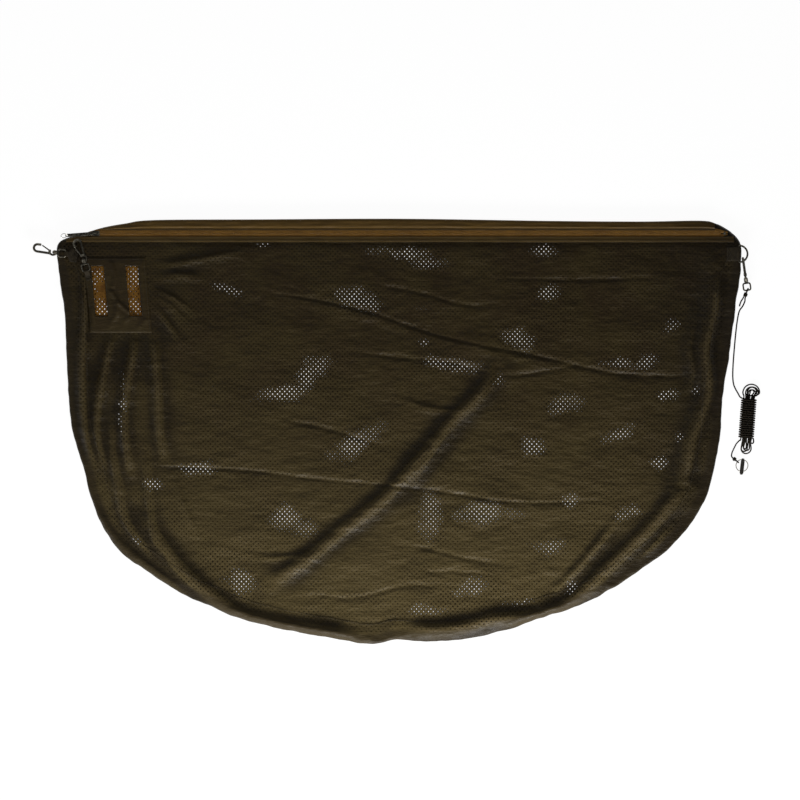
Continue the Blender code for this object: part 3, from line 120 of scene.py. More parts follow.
def add_piece(name, vertices, faces, uvs=None, smooth=True):
    """Mesh object; uvs holds one pair for each vertex of each face in turn."""
    mesh = bpy.data.meshes.new(name)
    mesh.from_pydata([tuple(v) for v in vertices], [], faces)
    if uvs is not None:
        layer = mesh.uv_layers.new(name="UVMap")
        layer.data.foreach_set("uv", np.asarray(uvs, np.float32).ravel())
    mesh.validate()
    if smooth:
        mesh.shade_smooth()
    piece = bpy.data.objects.new(name, mesh)
    bpy.context.scene.collection.objects.link(piece)
    return piece


def tube_parts(points, radii, sides, first):
    """Vertices, faces and uvs, in metres along and around, of a round tube that doesn't twist."""
    points = [Vector(point) for point in points]
    count = len(points)
    vertices, faces, uvs = [], [], []
    side = None
    travel = [0.0]
    for a, b in zip(points, points[1:]):
        travel.append(travel[-1] + (b - a).length)
    for i, point in enumerate(points):
        ahead = (points[min(i + 1, count - 1)] - points[max(i - 1, 0)]).normalized()
        if side is None:
            side = ahead.orthogonal()
        side = (side - ahead * side.dot(ahead)).normalized()
        up = ahead.cross(side)
        for k in range(sides):
            angle = 2 * math.pi * k / sides
            vertices.append(point + (side * math.cos(angle) + up * math.sin(angle)) * radii[i])
    around = 2 * math.pi * max(radii) / sides
    for i in range(count - 1):
        near, far = first + i * sides, first + (i + 1) * sides
        for k in range(sides):
            after = (k + 1) % sides
            faces.append((near + k, near + after, far + after, far + k))
            uvs += [(travel[i], k * around), (travel[i], (k + 1) * around)]
            uvs += [(travel[i + 1], (k + 1) * around), (travel[i + 1], k * around)]
    for i in (0, count - 1):
        ring = [first + i * sides + k for k in range(sides)]
        faces.append(ring[::-1] if i == 0 else ring)
        uvs += [(travel[i], k * around) for k in range(sides)]
    return vertices, faces, uvs


def tubes(name, runs, sides):
    """One piece of several tubes; a run is (points, radius), with one radius or one for each point."""
    vertices, faces, uvs = [], [], []
    for points, radius in runs:
        radii = radius if isinstance(radius, list) else [radius] * len(points)
        parts = tube_parts(points, radii, sides, len(vertices))
        vertices += parts[0]
        faces += parts[1]
        uvs += parts[2]
    return add_piece(name, vertices, faces, uvs)


def loop_end(rank, up, layer):
    """Middle, radius and place along the hank of a loop's bend, and its height."""
    reach = max(0.0024 + 0.0048 * rank - 0.0024 * layer, TIGHTEST_BEND)
    height = CORD / 2 + 0.00005 + layer * LOOP_LAYER
    if up > 0:
        return TOP_FAN + 0.0006 * layer, reach, TOP_FOLD, height
    return 0.0030 * math.sin(4.1 * rank + 2.3 * layer), 0.72 * reach, -FOOT_FOLD + 0.0020 * layer, height


def hank_loops():
    """Two flat spirals of long loops; the second lies on the first, in the gaps between its loops."""
    waist_low = 1.5 * CORD + LOOP_GAP
    outer = (LOOP_COLUMNS - 0.5) / 2
    ranks = [outer - 0.5 * k for k in range(LOOP_COLUMNS)]
    runs = [(-1 if k % 2 == 0 else 1, rank, 0) for k, rank in enumerate(ranks)]
    runs += [(1 if k % 2 else -1, rank, 1) for k, rank in enumerate(ranks[-2:0:-1])]
    route = []
    for k, (side, rank, layer) in enumerate(runs):
        up = 1 if k % 2 == 0 else -1
        after = 1 if k == LOOP_COLUMNS - 1 else layer
        waist = (side * rank + 0.5 * layer) * LOOP_PITCH
        for along, level in ((-up, layer), (0, (layer + after) / 2), (up, after)):
            route.append((waist, along * WAIST_HALF, waist_low + level * LOOP_LAYER))
        if k == len(runs) - 1:
            break
        fan, reach, end, height = loop_end(rank, up, after)
        next_side, next_rank, _ = runs[k + 1]
        next_reach = loop_end(next_rank, up, after)[1]
        level = 0.5 * (waist_low + after * LOOP_LAYER + height)
        along = 0.5 * (up * WAIST_HALF + end)
        route.append((0.5 * (waist + fan + side * reach), along, level))
        for i in range(7):
            angle = math.pi * i / 6
            radius = reach + (next_reach - reach) * i / 6
            route.append((fan + side * radius * math.cos(angle), end + up * radius * math.sin(angle), height))
        next_waist = (next_side * next_rank + 0.5 * after) * LOOP_PITCH
        route.append((0.5 * (next_waist + fan + next_side * next_reach), along, level))
    return route


def hank_wraps():
    """Turns of the cord round the waist of the loops."""
    low = CORD / 2
    high = low + 2 * (CORD + LOOP_GAP) + LOOP_LAYER
    half_width = (LOOP_COLUMNS - 0.5) / 2 * LOOP_PITCH + CORD + 2 * LOOP_GAP
    middle = (low + high) / 2
    straight = (high - low) / 2 - WRAP_CORNER
    turn = [(half_width, middle)]
    for across, level, first in ((1, -1, 0), (-1, -1, -90), (-1, 1, -180), (1, 1, -270)):
        centre = (across * (half_width - WRAP_CORNER), middle + level * straight)
        turn += arc(centre, WRAP_CORNER, first, first - 90, 4)
        turn += {0: [(0, low)], -90: [(-half_width, middle)], -180: [(0, high)], -270: []}[first]
    count = WRAP_TURNS * len(turn) + 8
    pitch = 2 * WRAP_HALF / (count / len(turn))
    return [(turn[i % len(turn)][0], pitch * i / len(turn) - WRAP_HALF, turn[i % len(turn)][1]) for i in range(count)]


def millimetres(points):
    return [tuple(value / 1000 for value in point) for point in points]


along = (HANK_TOP - HANK_FOOT).normalized()
hank_place = Matrix.Translation((HANK_FOOT + HANK_TOP) / 2) @ Matrix.Rotation(math.atan2(-along.x, along.y), 4, "Z")
hank = [*millimetres(HANK_START), *hank_loops(), *millimetres(HANK_BEND), *hank_wraps(), *millimetres(HANK_FINISH)]
hank = [hank_place @ Vector(point) for point in hank]
lead_route = smooth_route([*LEAD, hank[-1]], 0.0012)
split = min(range(len(lead_route)), key=lambda i: abs(lead_route[i].y - LEAD_SPLIT_Y))
near_route = lead_route[: split + 1]
long_route = lead_route[split:-1] + smooth_route([*hank[::-1], *TAIL], 0.0014)


def route_length(points):
    return sum((b - a).length for a, b in zip(points, points[1:]))


cord_near = tubes("cord_by_the_hook", [(near_route, CORD / 2)], 8)
cord_long = tubes("cord_in_its_hank", [(long_route, CORD / 2)], 8)
print(f"cord: {route_length(near_route):.4f} m by the hook, {route_length(long_route):.4f} m with its hank")

# Knots of the cord: its end goes round the bar of the eye or ring, back beside itself, and is
# bound down by three and a half turns pulled tight.
KNOT_TURNS = 3.5
KNOT_STRAND = 0.00125


def knot_runs(place, bar, length, turns):
    """The loop round the bar with its two strands, and the turns that bind them, along -X of the place."""
    turn = bar + 0.0005 + CORD / 2
    start = turn + CORD / 2
    strand = [(-start - length, -KNOT_STRAND, 0), (-start - 0.5 * length, -0.8 * KNOT_STRAND, 0)]
    strand += [(x, 0, z) for x, z in arc((0, 0), turn, -125, 125, 12)]
    strand += [(-start - 0.5 * length, 0.8 * KNOT_STRAND, 0), (-start - length, KNOT_STRAND, 0)]
    steps = int(14 * turns)
    wound = []
    for i in range(steps + 1):
        share = i / steps
        angle = 2 * math.pi * turns * share
        wide = 1.5 * CORD / 2 + 0.0003 + 0.0003 * math.sin(math.pi * share)
        wound.append((-start - 0.0011 - (length - 0.0022) * share, wide * math.sin(angle), wide * math.cos(angle)))
    runs = []
    for route in (strand, wound):
        runs.append(([place @ point for point in smooth_route(route, 0.0009)], CORD / 2))
    return runs


def placed(origin, x_axis, y_axis, turn=0.0):
    x_axis, y_axis = Vector(x_axis).normalized(), Vector(y_axis).normalized()
    z_axis = x_axis.cross(y_axis)
    columns = Matrix((x_axis, y_axis, z_axis)).transposed().to_4x4()
    return Matrix.Translation(origin) @ columns @ Matrix.Rotation(math.radians(turn), 4, "Z")


eye_place = placed((0.60446, 0.24586, 0.00648), (-0.1378, 0.9806, 0.1392), (-0.9903, -0.1392, 0.0), -30.0)
knot_end = smooth_route(
    (
        (0.59808, 0.23473, 0.00506),
        (0.59714, 0.23243, 0.00476),
        (0.5935, 0.2265, 0.0030),
        (0.5912, 0.2205, 0.0015),
        (0.5909, 0.2176, 0.0013),
    ),
    0.001,
)
eye_runs = knot_runs(eye_place, 0.0015, 0.0080, KNOT_TURNS) + [(knot_end, CORD / 2)]
eye_knot = tubes("knot_on_the_eye", eye_runs, 8)
ring_place = placed((0.58706, -0.05245, 0.0039), (0.766, -0.6428, 0.0), (0.6428, 0.766, 0.0))
ring_knot = tubes("knot_on_the_ring", knot_runs(ring_place, 0.0008, 0.0060, 2.5), 8)

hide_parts("cord_lead")
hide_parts("cord_hank", "cord_tail")
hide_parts("eye_knot", "knot_tail")
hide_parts("ring_knot")
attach(eye_knot, "right_eye")
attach(ring_knot, "sack")
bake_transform(cord_near)
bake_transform(cord_long)

# The cloth: dark olive-brown nylon, knitted with round holes in slanting rows, cut as a long D. The
# back lies on the ground. The front lies on it in creases, and where the holes of both fall
# together the ground shows through as small white dots.
SACK_LENGTH = 1.194
SACK_DEPTH = 0.740
HALF_LENGTH = SACK_LENGTH / 2
HALF_DEPTH = SACK_DEPTH / 2
CLOTH = 0.0010
FRONT_TOP = 0.0066
FLAP_NARROW = 0.006
FLAP_GAIN = 0.029
FLAP_GROWTH = 0.0714
UNDER_POCKET = (-0.548, -0.440, 0.1705)  # left, right and foot of the place where the pocket lies
DEEPEST = -0.0048
HIGHEST = 0.0110
CHAIN_Y = HALF_DEPTH * 0.992 - 0.0223
HEM_Y = HALF_DEPTH * 0.992 - 0.0373
# The outline, clockwise from the slider, as shares of half the length and half the depth
ZIP_EDGE = (
    (-0.868, 0.958), (-0.800, 0.978), (-0.714, 0.994), (-0.408, 0.997), (0.000, 1.000), (0.437, 0.990),
    (0.700, 0.987), (0.874, 0.991), (0.918, 0.979),
)
CURVED_EDGE = (
    (0.947, 0.957), (0.982, 0.915), (0.995, 0.860), (0.992, 0.745), (0.980, 0.619), (0.966, 0.440),
    (0.945, 0.203), (0.926, -0.100), (0.880, -0.345), (0.790, -0.540), (0.677, -0.678), (0.556, -0.792),
    (0.400, -0.885), (0.230, -0.965), (0.090, -0.987), (-0.008, -0.978), (-0.090, -0.999), (-0.230, -0.963),
    (-0.414, -0.905), (-0.560, -0.818), (-0.700, -0.700), (-0.830, -0.535), (-0.888, -0.370),
    (-0.925, -0.160), (-0.960, 0.040), (-0.970, 0.300), (-0.980, 0.580), (-0.992, 0.720), (-1.000, 0.840),
    (-0.994, 0.888), (-0.965, 0.914), (-0.915, 0.935),
)
HOLE_ACROSS = 0.00835
HOLE_DOWN = 0.0087
HOLE_RADIUS = 0.00110
# Creases, in millimetres: height, width on the left of the route and on its right, then the route
CREASES = (
    (8, 15, 12, ((169, 112), (134, 60), (87, 15), (52, -32), (17, -90))),
    (7.8, 15, 12, ((52, -20), (-14, -102), (-61, -142), (-108, -177), (-165, -224), (-230, -264))),
    (-2, 3.5, 4, ((-431, -62), (-275, -67), (-136, -84), (52, -102), (204, -124), (348, -119))),
    (-2.2, 3.5, 4, (
        (-240, 243), (-148, 229), (-49, 206), (52, 171), (139, 150), (244, 130), (371, 102), (499, 95),
    )),
    (1.4, 6, 14, ((-240, 240), (-148, 225), (-49, 202), (52, 167), (139, 146), (244, 126))),
    (-1.7, 3.5, 3.5, ((-70, 262), (40, 240), (80, 228), (130, 218), (180, 224))),
    (-1.6, 3.5, 3.5, ((150, 268), (260, 264), (350, 264), (440, 268))),
    (9.2, 11, 17, (
        (-436, -160), (-405, -206), (-374, -244), (-291, -311), (-232, -331), (-149, -345), (-66, -358),
    )),
    (5.6, 8, 10, ((-546, -110), (-508, -177), (-437, -238), (-370, -285))),
    (4.2, 12, 6, ((-446, -30), (-440, -100), (-432, -170), (-424, -205))),
    (5, 12, 7, ((-500, 20), (-501, -34), (-492, -89), (-478, -155), (-430, -222))),
    (9.2, 17, 11, (
        (499, -96), (476, -118), (443, -157), (400, -200), (356, -239), (313, -283), (265, -312), (219, -323),
        (163, -325), (109, -339), (54, -344), (0, -338),
    )),
    (5.2, 10, 6, ((380, -148), (342, -197), (310, -235), (266, -279))),
    (6.5, 10, 7, ((469, -166), (437, -204), (414, -222))),
    (10.8, 9, 18, (
        (553, 280), (553, 262), (551, 215), (540, 171), (535, 139), (540, 68), (513, -7), (502, -62),
        (490, -100),
    )),
    (4.8, 6, 10, ((517, 190), (505, 150), (512, 100), (500, 60))),
    (4.2, 6, 10, ((-436, 269), (-390, 272), (-339, 272))),
    (4, 5, 9, ((-438, 252), (-397, 234), (-357, 206))),
    (3.6, 5, 9, ((-432, 236), (-400, 220), (-370, 190))),
    (4.6, 6, 8, ((-430, 222), (-412, 200), (-390, 168), (-375, 150))),
    (4.2, 5, 10, ((-428, 290), (-350, 300), (-260, 318))),
    (7.2, 12, 8, ((-431, 170), (-424, 80), (-420, 0), (-410, -50))),
    (9.8, 10, 9, ((-462, 180), (-466, 130), (-478, 70), (-480, 0), (-470, -70))),
    (9, 9, 8, ((-500, 180), (-512, 120), (-524, 60), (-528, 0), (-515, -60))),
    (8.5, 8, 8, ((-548, 290), (-546, 220), (-552, 150), (-553, 80), (-547, 0), (-532, -60))),
    (3, 6, 10, ((-395, -80), (-372, -140), (-350, -190))),
    (2.8, 5, 10, ((0, 60), (50, 40), (110, 36))),
    (-1.6, 4, 4, ((-90, 140), (0, 128), (90, 120), (160, 96))),
    (-1.6, 4, 4, ((180, 94), (260, 106), (330, 120))),
    (-2, 4, 5, ((-160, -284), (-80, -290), (0, -270), (80, -268))),
    (-1.8, 4, 5, ((-20, -196), (30, -200), (120, -222), (200, -232))),
    (-1.6, 4, 4, ((-200, 20), (-110, 0), (-20, -30))),
    (-1.6, 4, 4, ((20, -246), (90, -244), (180, -250))),
    (3, 5, 10, ((-270, -214), (-215, -220), (-160, -214))),
)
# Patches where the holes of front and back fall together: middle and half sizes in millimetres, slant in degrees
PATCHES = (
    (-235, 328, 14, 7, 0), (8, 311, 44, 10, -4), (52, 292, 26, 9, 0), (-299, 246, 20, 8, -20),
    (-70, 229, 34, 15, -12), (256, 239, 18, 13, 0), (250, 314, 20, 9, 0), (205, 159, 30, 15, -35),
    (40, 157, 12, 6, 0), (96, 116, 42, 11, -8), (174, 91, 11, 10, 0), (473, 185, 11, 12, 0),
    (378, 119, 22, 9, 0), (432, 119, 16, 12, 30), (-200, 68, 40, 14, 10), (-150, 104, 34, 16, 38),
    (-486, 55, 5, 34, 0), (-486, 10, 5, 28, -4), (289, 48, 24, 15, 12), (466, 64, 13, 9, 20),
    (519, 74, 8, 7, 0), (-77, -22, 42, 18, 33), (231, -25, 17, 15, -30), (381, -4, 34, 10, 22),
    (489, -8, 10, 7, 0), (449, -53, 14, 9, 10), (-348, -64, 32, 9, -4), (-430, -93, 11, 8, 0),
    (-190, -157, 40, 17, -22), (54, -147, 18, 32, 0), (148, -142, 40, 20, 0), (296, -121, 13, 11, 20),
    (400, -139, 20, 14, 36), (258, -201, 22, 12, 0), (-277, -262, 24, 17, -25), (-456, -192, 12, 7, -50),
    (120, -275, 30, 14, 20), (48, -312, 30, 7, 6), (209, -298, 22, 6, 12), (470, -192, 18, 8, 45),
    (300, -270, 14, 8, 40), (-300, 80, 50, 20, 0), (60, 210, 60, 12, -10), (-60, -290, 40, 8, -10),
    (-524, 274, 12, 10, 0), (-531, 248, 4, 26, 0), (-520, 213, 13, 13, 0), (-466, 267, 12, 22, 0),
    (-462, 216, 12, 14, 0),
)
FAINT_PATCHES = (41, 42, 43)  # counted from 0


def shares_to_metres(shares):
    return [(x * HALF_LENGTH, y * HALF_DEPTH) for x, y in shares]


def inset_loop(loop, distances):
    """Closed loop that runs clockwise, moved inwards by each point's own distance."""
    moved = []
    for i, point in enumerate(loop):
        ahead = (loop[(i + 1) % len(loop)] - loop[i - 1]).normalized()
        moved.append(point + Vector((ahead.y, -ahead.x)) * distances[i])
    return moved


def flap_width(point):
    """Width of the band's flap on the front: narrow beside the zip, full from some way below it."""
    share = min(max((CHAIN_Y - point.y) / FLAP_GROWTH, 0.0), 1.0)
    return FLAP_NARROW + FLAP_GAIN * share


def wave(x, y, size, seed=0.0):
    """Smooth noise from -1 to 1 over the cloth."""
    return noise.noise(Vector((x / size, y / size, seed)))


def route_reach(x, y, route):
    """Distance of each point from the route, signed: positive on its left."""
    best = np.full(x.shape, 9.0)
    signed = np.zeros(x.shape)
    for (ax, ay), (bx, by) in zip(route, route[1:]):
        dx, dy = bx - ax, by - ay
        share = np.clip(((x - ax) * dx + (y - ay) * dy) / (dx * dx + dy * dy), 0, 1)
        ox, oy = x - ax - dx * share, y - ay - dy * share
        far = np.hypot(ox, oy)
        side = np.where(dx * oy - dy * ox > 0, far, -far)
        signed = np.where(far < best, side, signed)
        best = np.minimum(far, best)
    return best, signed


def wave_sum(x, y, *waves):
    """Sum of waves at each point; a wave is (height, size, seed)."""
    return np.array([sum(tall * wave(a, b, size, seed) for tall, size, seed in waves) for a, b in zip(x, y)])


def crease_height(x, y):
    """Height of the creases and of the small rumples between them, and the painted light (positive) and painted shade
    (negative) that goes with them there.
    """
    height = np.zeros(x.shape)
    shade = np.zeros(x.shape)
    for sizes in CREASES:
        tall, left, right = (size / 1000 for size in sizes[:3])
        smooth = [(p.x, p.y) for p in smooth_route([(*p, 0) for p in millimetres(sizes[3])], 0.02)]
        far, signed = route_reach(x, y, smooth)
        ends = [np.hypot(x - p[0], y - p[1]) for p in (smooth[0], smooth[-1])]
        fade = np.clip(np.minimum(*ends) / 0.05, 0.0, 1.0) ** 0.7
        width = np.where(signed > 0, left, right)
        height += tall * fade * np.exp(-((far / width) ** 2))
        # Painted light along a crease's back and painted shade on its flanks.
        hat = 1.2 * np.exp(-((far / (0.75 * width)) ** 2)) - 0.7 * np.exp(-((far / (1.9 * width)) ** 2))
        shade += np.clip(tall, -0.0030, 0.0070) / 0.0035 * fade * hat
    rumple = wave_sum(x, 1.7 * y, (0.0028, 0.085, 3.1))
    rumple += wave_sum(x, 2.4 * y, (0.0010, 0.030, 7.7)) + wave_sum(x, 2.0 * y, (0.0004, 0.013, 1.3))
    # The rumples get painted light and shade too.
    shade += 0.30 * rumple / 0.0028
    return height + rumple, np.clip(shade, -1.0, 1.0)


def near_crease(x, y):
    """True within the reach of a narrow crease."""
    near = np.zeros(x.shape, bool)
    for _, left, right, route in CREASES:
        far = route_reach(x, y, millimetres(route))[0]
        near |= far < 1.1 * min(left, right) / 1000 + 0.004
    return near


def patch_share(x, y):
    """1 where the holes of both cloths fall together, fading to 0 round each patch."""
    share = np.zeros(x.shape)
    x = x + wave_sum(x, y, (0.010, 0.022, 1.7), (0.004, 0.009, 4.1))
    y = y + wave_sum(x, y, (0.007, 0.020, 6.3), (0.003, 0.008, 8.6))
    for i, sizes in enumerate(PATCHES):
        px, py, long, short = (size / 1000 for size in sizes[:4])
        c, s = math.cos(math.radians(sizes[4])), math.sin(math.radians(sizes[4]))
        u = ((x - px) * c + (y - py) * s) / long
        v = (-(x - px) * s + (y - py) * c) / short
        level = 0.5 if i in FAINT_PATCHES else 1.0
        share = np.maximum(share, level * np.clip(1.22 - 0.46 * np.hypot(u, v), 0, 1))
    return share


outline = smooth_route([(*p, 0) for p in shares_to_metres(ZIP_EDGE + CURVED_EDGE)], 0.0055, closed=True)
outline = [Vector((p.x, p.y)) for p in outline]
zip_last = Vector(shares_to_metres(ZIP_EDGE)[-1])
turning = min(range(len(outline)), key=lambda i: (outline[i] - zip_last).length)
zip_side = outline[: turning + 1]
for i in range(turning + 6, len(outline) - 6):
    point = outline[i]
    ahead = (outline[i + 1] - outline[i - 1]).normalized()
    sway = 0.0022 * wave(point.x, point.y, 0.045, 5.0) + 0.0012 * wave(point.x, point.y, 0.016, 2.0)
    outline[i] = point + Vector((ahead.y, -ahead.x)) * sway


def cloth_sheet(name, edge, level, rings, shape, creased=False):
    """Sheet inside the edge: rings that shrink towards the middle, finer along the creases."""
    middle = Vector((0.0, 0.02))
    sheet = bmesh.new()
    share_of = sheet.verts.layers.float.new("share")
    rows = []
    for k in range(rings):
        rows.append([])
        for point in edge:
            vertex = sheet.verts.new((*(middle + (point - middle) * (1 - k / rings)), 0.0))
            vertex[share_of] = 1 - k / rings
            rows[-1].append(vertex)
    rows.append([sheet.verts.new((*middle, 0.0))] * len(edge))
    for outer, inner in zip(rows, rows[1:]):
        for i in range(len(edge)):
            j = (i + 1) % len(edge)
            corners = (outer[j], outer[i], inner[i], inner[j])
            sheet.faces.new(corners if inner[i] is not inner[j] else corners[:3])
    if creased:
        sheet.verts.index_update()
        near = near_crease(*np.array([v.co[:2] for v in sheet.verts]).T)
        edges = [e for e in sheet.edges if near[e.verts[0].index] and near[e.verts[1].index]]
        bmesh.ops.subdivide_edges(sheet, edges=edges, cuts=1, use_grid_fill=True)
    sheet.verts.index_update()
    grid = np.array([v.co[:2] for v in sheet.verts])
    z = shape(grid[:, 0], grid[:, 1], np.array([v[share_of] for v in sheet.verts]))
    faces = [[v.index for v in face.verts] for face in sheet.faces]
    sheet.free()
    return add_piece(name, np.column_stack((grid, level + z)), faces, [grid[v] for face in faces for v in face]), grid


def add_share(piece, name, values):
    layer = piece.data.attributes.new(name, "FLOAT", "POINT")
    layer.data.foreach_set("value", np.asarray(values, np.float32))


def front_shape(x, y, share):
    """Creases that die out under the band, under the pocket and at the seams."""
    under_band = np.clip((HEM_Y - 0.004 - y) / 0.022, 0, 1)
    groove = -0.0026 * np.exp(-(((y - HEM_Y + 0.0015) / 0.0042) ** 2))
    left, right, foot = UNDER_POCKET
    off_pocket = np.clip(np.maximum((x - right) / 0.014, (foot - y) / 0.014), 0, 1)
    off_pocket = np.maximum(off_pocket, np.clip((left - x) / 0.02, 0, 1))
    rise = np.clip(crease_height(x, y)[0], DEEPEST, HIGHEST)
    return rise * under_band * off_pocket + groove * np.clip((1 - share) / 0.02, 0, 1) - 0.0002


flaps = [CLOTH + 0.0003] * (turning + 1) + [flap_width(p) - 0.004 for p in outline[turning + 1 :]]
front_edge = inset_loop(outline, flaps)
front, front_grid = cloth_sheet("front_cloth", front_edge, FRONT_TOP, 80, front_shape, creased=True)
add_share(front, "together", patch_share(front_grid[:, 0], front_grid[:, 1]))
# Painted light and shade that follows the creases.
add_share(front, "painted_crease_shading", crease_height(front_grid[:, 0], front_grid[:, 1])[1])
back_edge = inset_loop(outline, [0.0016] * len(outline))


def back_shape(x, y, _):
    return 0.0005 + wave_sum(x, y, (0.0004, 0.05, 9.0))


back, back_grid = cloth_sheet("back_cloth", back_edge, 0.0004, 48, back_shape)
add_share(back, "together", patch_share(back_grid[:, 0], back_grid[:, 1]))
for piece, node, slot in ((front, "front_panel", "olive_cloth"), (back, "back_panel", "dark_cloth")):
    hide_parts(node)
    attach(piece, "sack")


def node_tree(name, inputs, outputs):
    """Group of shader nodes, to be filled in; an input's value, or its kind, follows its name."""
    tree = bpy.data.node_groups.new(name, "ShaderNodeTree")
    for key, value in inputs.items():
        kind = value if isinstance(value, str) else "Float"
        made = tree.interface.new_socket(name=key, in_out="INPUT", socket_type=f"NodeSocket{kind}")
        if kind == "Float":
            made.default_value = value
    for key, kind in outputs.items():
        tree.interface.new_socket(name=key, in_out="OUTPUT", socket_type=f"NodeSocket{kind}")
    return tree, tree.nodes.new("NodeGroupInput"), tree.nodes.new("NodeGroupOutput")


def put(tree, kind, inputs=(), **settings):
    """Adds a node; inputs are (socket, value or output socket) pairs."""
    node = tree.nodes.new(kind)
    for key, value in settings.items():
        setattr(node, key, value)
    for key, value in inputs:
        if isinstance(value, bpy.types.NodeSocket):
            tree.links.new(value, node.inputs[key])
        else:
            node.inputs[key].default_value = value
    return node


def math_node(tree, operation, *values, clamp=False):
    return put(tree, "ShaderNodeMath", list(enumerate(values)), operation=operation, use_clamp=clamp).outputs[0]


def between(tree, value, low, high, to_low=0.0, to_high=1.0):
    """Maps a value smoothly from one range to another."""
    inputs = (("Value", value), (1, low), (2, high), (3, to_low), (4, to_high))
    return put(tree, "ShaderNodeMapRange", inputs, interpolation_type="SMOOTHSTEP").outputs[0]


def mixed(tree, share, first, second):
    node = put(tree, "ShaderNodeMix", data_type="RGBA", clamp_factor=True)
    for key, value in (("Factor_Float", share), ("A_Color", first), ("B_Color", second)):
        target = next(s for s in node.inputs if s.identifier == key)
        if isinstance(value, bpy.types.NodeSocket):
            tree.links.new(value, target)
        else:
            target.default_value = value if isinstance(value, float) else (*value, 1.0)
    return next(s for s in node.outputs if s.identifier == "Result_Color")


def clouds(tree, place, scale, detail=3.0, roughness=0.5):
    inputs = (("Vector", place), ("Scale", scale), ("Detail", detail), ("Roughness", roughness))
    return put(tree, "ShaderNodeTexNoise", inputs).outputs[0]


def squeezed(tree, place, down):
    """The place with its second direction made finer, for marks that run along the first."""
    return put(tree, "ShaderNodeVectorMath", ((0, place), (1, (1.0, down, 1.0))), operation="MULTIPLY").outputs[0]


def split(tree, place):
    return put(tree, "ShaderNodeSeparateXYZ", ((0, place),)).outputs[:2]


def share_of(tree, name):
    """A share that is kept at each point of the mesh."""
    return put(tree, "ShaderNodeAttribute", attribute_name=name).outputs["Fac"]


def scaled(colour, share):
    return tuple(share * c for c in colour)


# Rows of round holes, every second row half a hole along.
HOLE_INPUTS = {"Place": "Vector", "Shift": 0.0, "Radius": HOLE_RADIUS}
holes, enter, leave = node_tree("rows_of_holes", HOLE_INPUTS, {"Cloth": "Float", "Rim": "Float"})
x, y = split(holes, enter.outputs["Place"])
across = math_node(holes, "DIVIDE", math_node(holes, "ADD", x, enter.outputs["Shift"]), HOLE_ACROSS)
down = math_node(holes, "DIVIDE", y, HOLE_DOWN)
near = []
for start in (0.0, 0.5):
    squares = []
    for way, pitch in ((across, HOLE_ACROSS), (down, HOLE_DOWN)):
        share = math_node(holes, "SUBTRACT", math_node(holes, "FRACT", math_node(holes, "ADD", way, start)), 0.5)
        off = math_node(holes, "MULTIPLY", share, pitch)
        squares.append(math_node(holes, "MULTIPLY", off, off))
    near.append(math_node(holes, "SQRT", math_node(holes, "ADD", *squares)))
far = math_node(holes, "MINIMUM", *near)
past = math_node(holes, "SUBTRACT", far, enter.outputs["Radius"])
holes.links.new(between(holes, past, -0.00012, 0.00012), leave.inputs["Cloth"])
holes.links.new(between(holes, past, 0.0, 0.0009, 1.0, 0.0), leave.inputs["Rim"])

# Threads that cross at right angles, over and under.
weave, enter, leave = node_tree("crossed_threads", {"Place": "Vector", "Thread": 0.0006}, {"Height": "Float"})
turns = math_node(weave, "DIVIDE", 2 * math.pi, enter.outputs["Thread"])
turned = [math_node(weave, "MULTIPLY", way, turns) for way in split(weave, enter.outputs["Place"])]
raised = math_node(weave, "MULTIPLY", *(math_node(weave, "SINE", way) for way in turned))
weave.links.new(math_node(weave, "MULTIPLY_ADD", raised, 0.5, 0.5), leave.inputs["Height"])

# Worn and dusty places: bare edges, and a grain of fine marks.
wear, enter, leave = node_tree("worn_edges", {"Place": "Vector", "Size": 120.0}, {"Worn": "Float", "Grain": "Float"})
bare = between(wear, put(wear, "ShaderNodeNewGeometry").outputs["Pointiness"], 0.51, 0.60)
grain = clouds(wear, enter.outputs["Place"], enter.outputs["Size"], 5.0, 0.6)
fine = math_node(wear, "MULTIPLY", bare, between(wear, grain, 0.35, 0.65))
wear.links.new(fine, leave.inputs["Worn"])
wear.links.new(grain, leave.inputs["Grain"])

# Two shades of one dye, in soft clouds.
DYE_INPUTS = {"Place": "Vector", "Size": 12.0, "Dark": "Color", "Light": "Color"}
dye, enter, leave = node_tree("uneven_dye", DYE_INPUTS, {"Colour": "Color"})
broad = between(dye, clouds(dye, enter.outputs["Place"], enter.outputs["Size"], 4.0, 0.6), 0.34, 0.66)
dye.links.new(mixed(dye, broad, enter.outputs["Dark"], enter.outputs["Light"]), leave.inputs["Colour"])


def group(tree, made, inputs):
    return put(tree, "ShaderNodeGroup", inputs, node_tree=made).outputs


def dyed(tree, place, size, dark, light):
    return group(tree, dye, (("Place", place), ("Size", size), ("Dark", (*dark, 1)), ("Light", (*light, 1))))[0]


def new_material(name, roughness, metallic=0.0, **plain):
    """Material with its tree and shader; plain values go on the shader's own sockets."""
    material = bpy.data.materials.new(name)
    material.use_nodes = True
    shader = material.node_tree.nodes["Principled BSDF"]
    shader.inputs["Roughness"].default_value = roughness
    shader.inputs["Metallic"].default_value = metallic
    for key, value in plain.items():
        shader.inputs[key.replace("_", " ").title()].default_value = value
    return material, material.node_tree, shader


def flat_place(tree):
    return put(tree, "ShaderNodeUVMap", uv_map="UVMap").outputs[0]


def solid_place(tree):
    return put(tree, "ShaderNodeTexCoord").outputs["Object"]


def bump(tree, shader, height, distance, strength=1.0, under=None):
    inputs = [("Height", height), ("Distance", distance), ("Strength", strength)]
    if under is not None:
        inputs.append(("Normal", under))
    normal = put(tree, "ShaderNodeBump", inputs).outputs[0]
    tree.links.new(normal, shader.inputs["Normal"])
    return normal


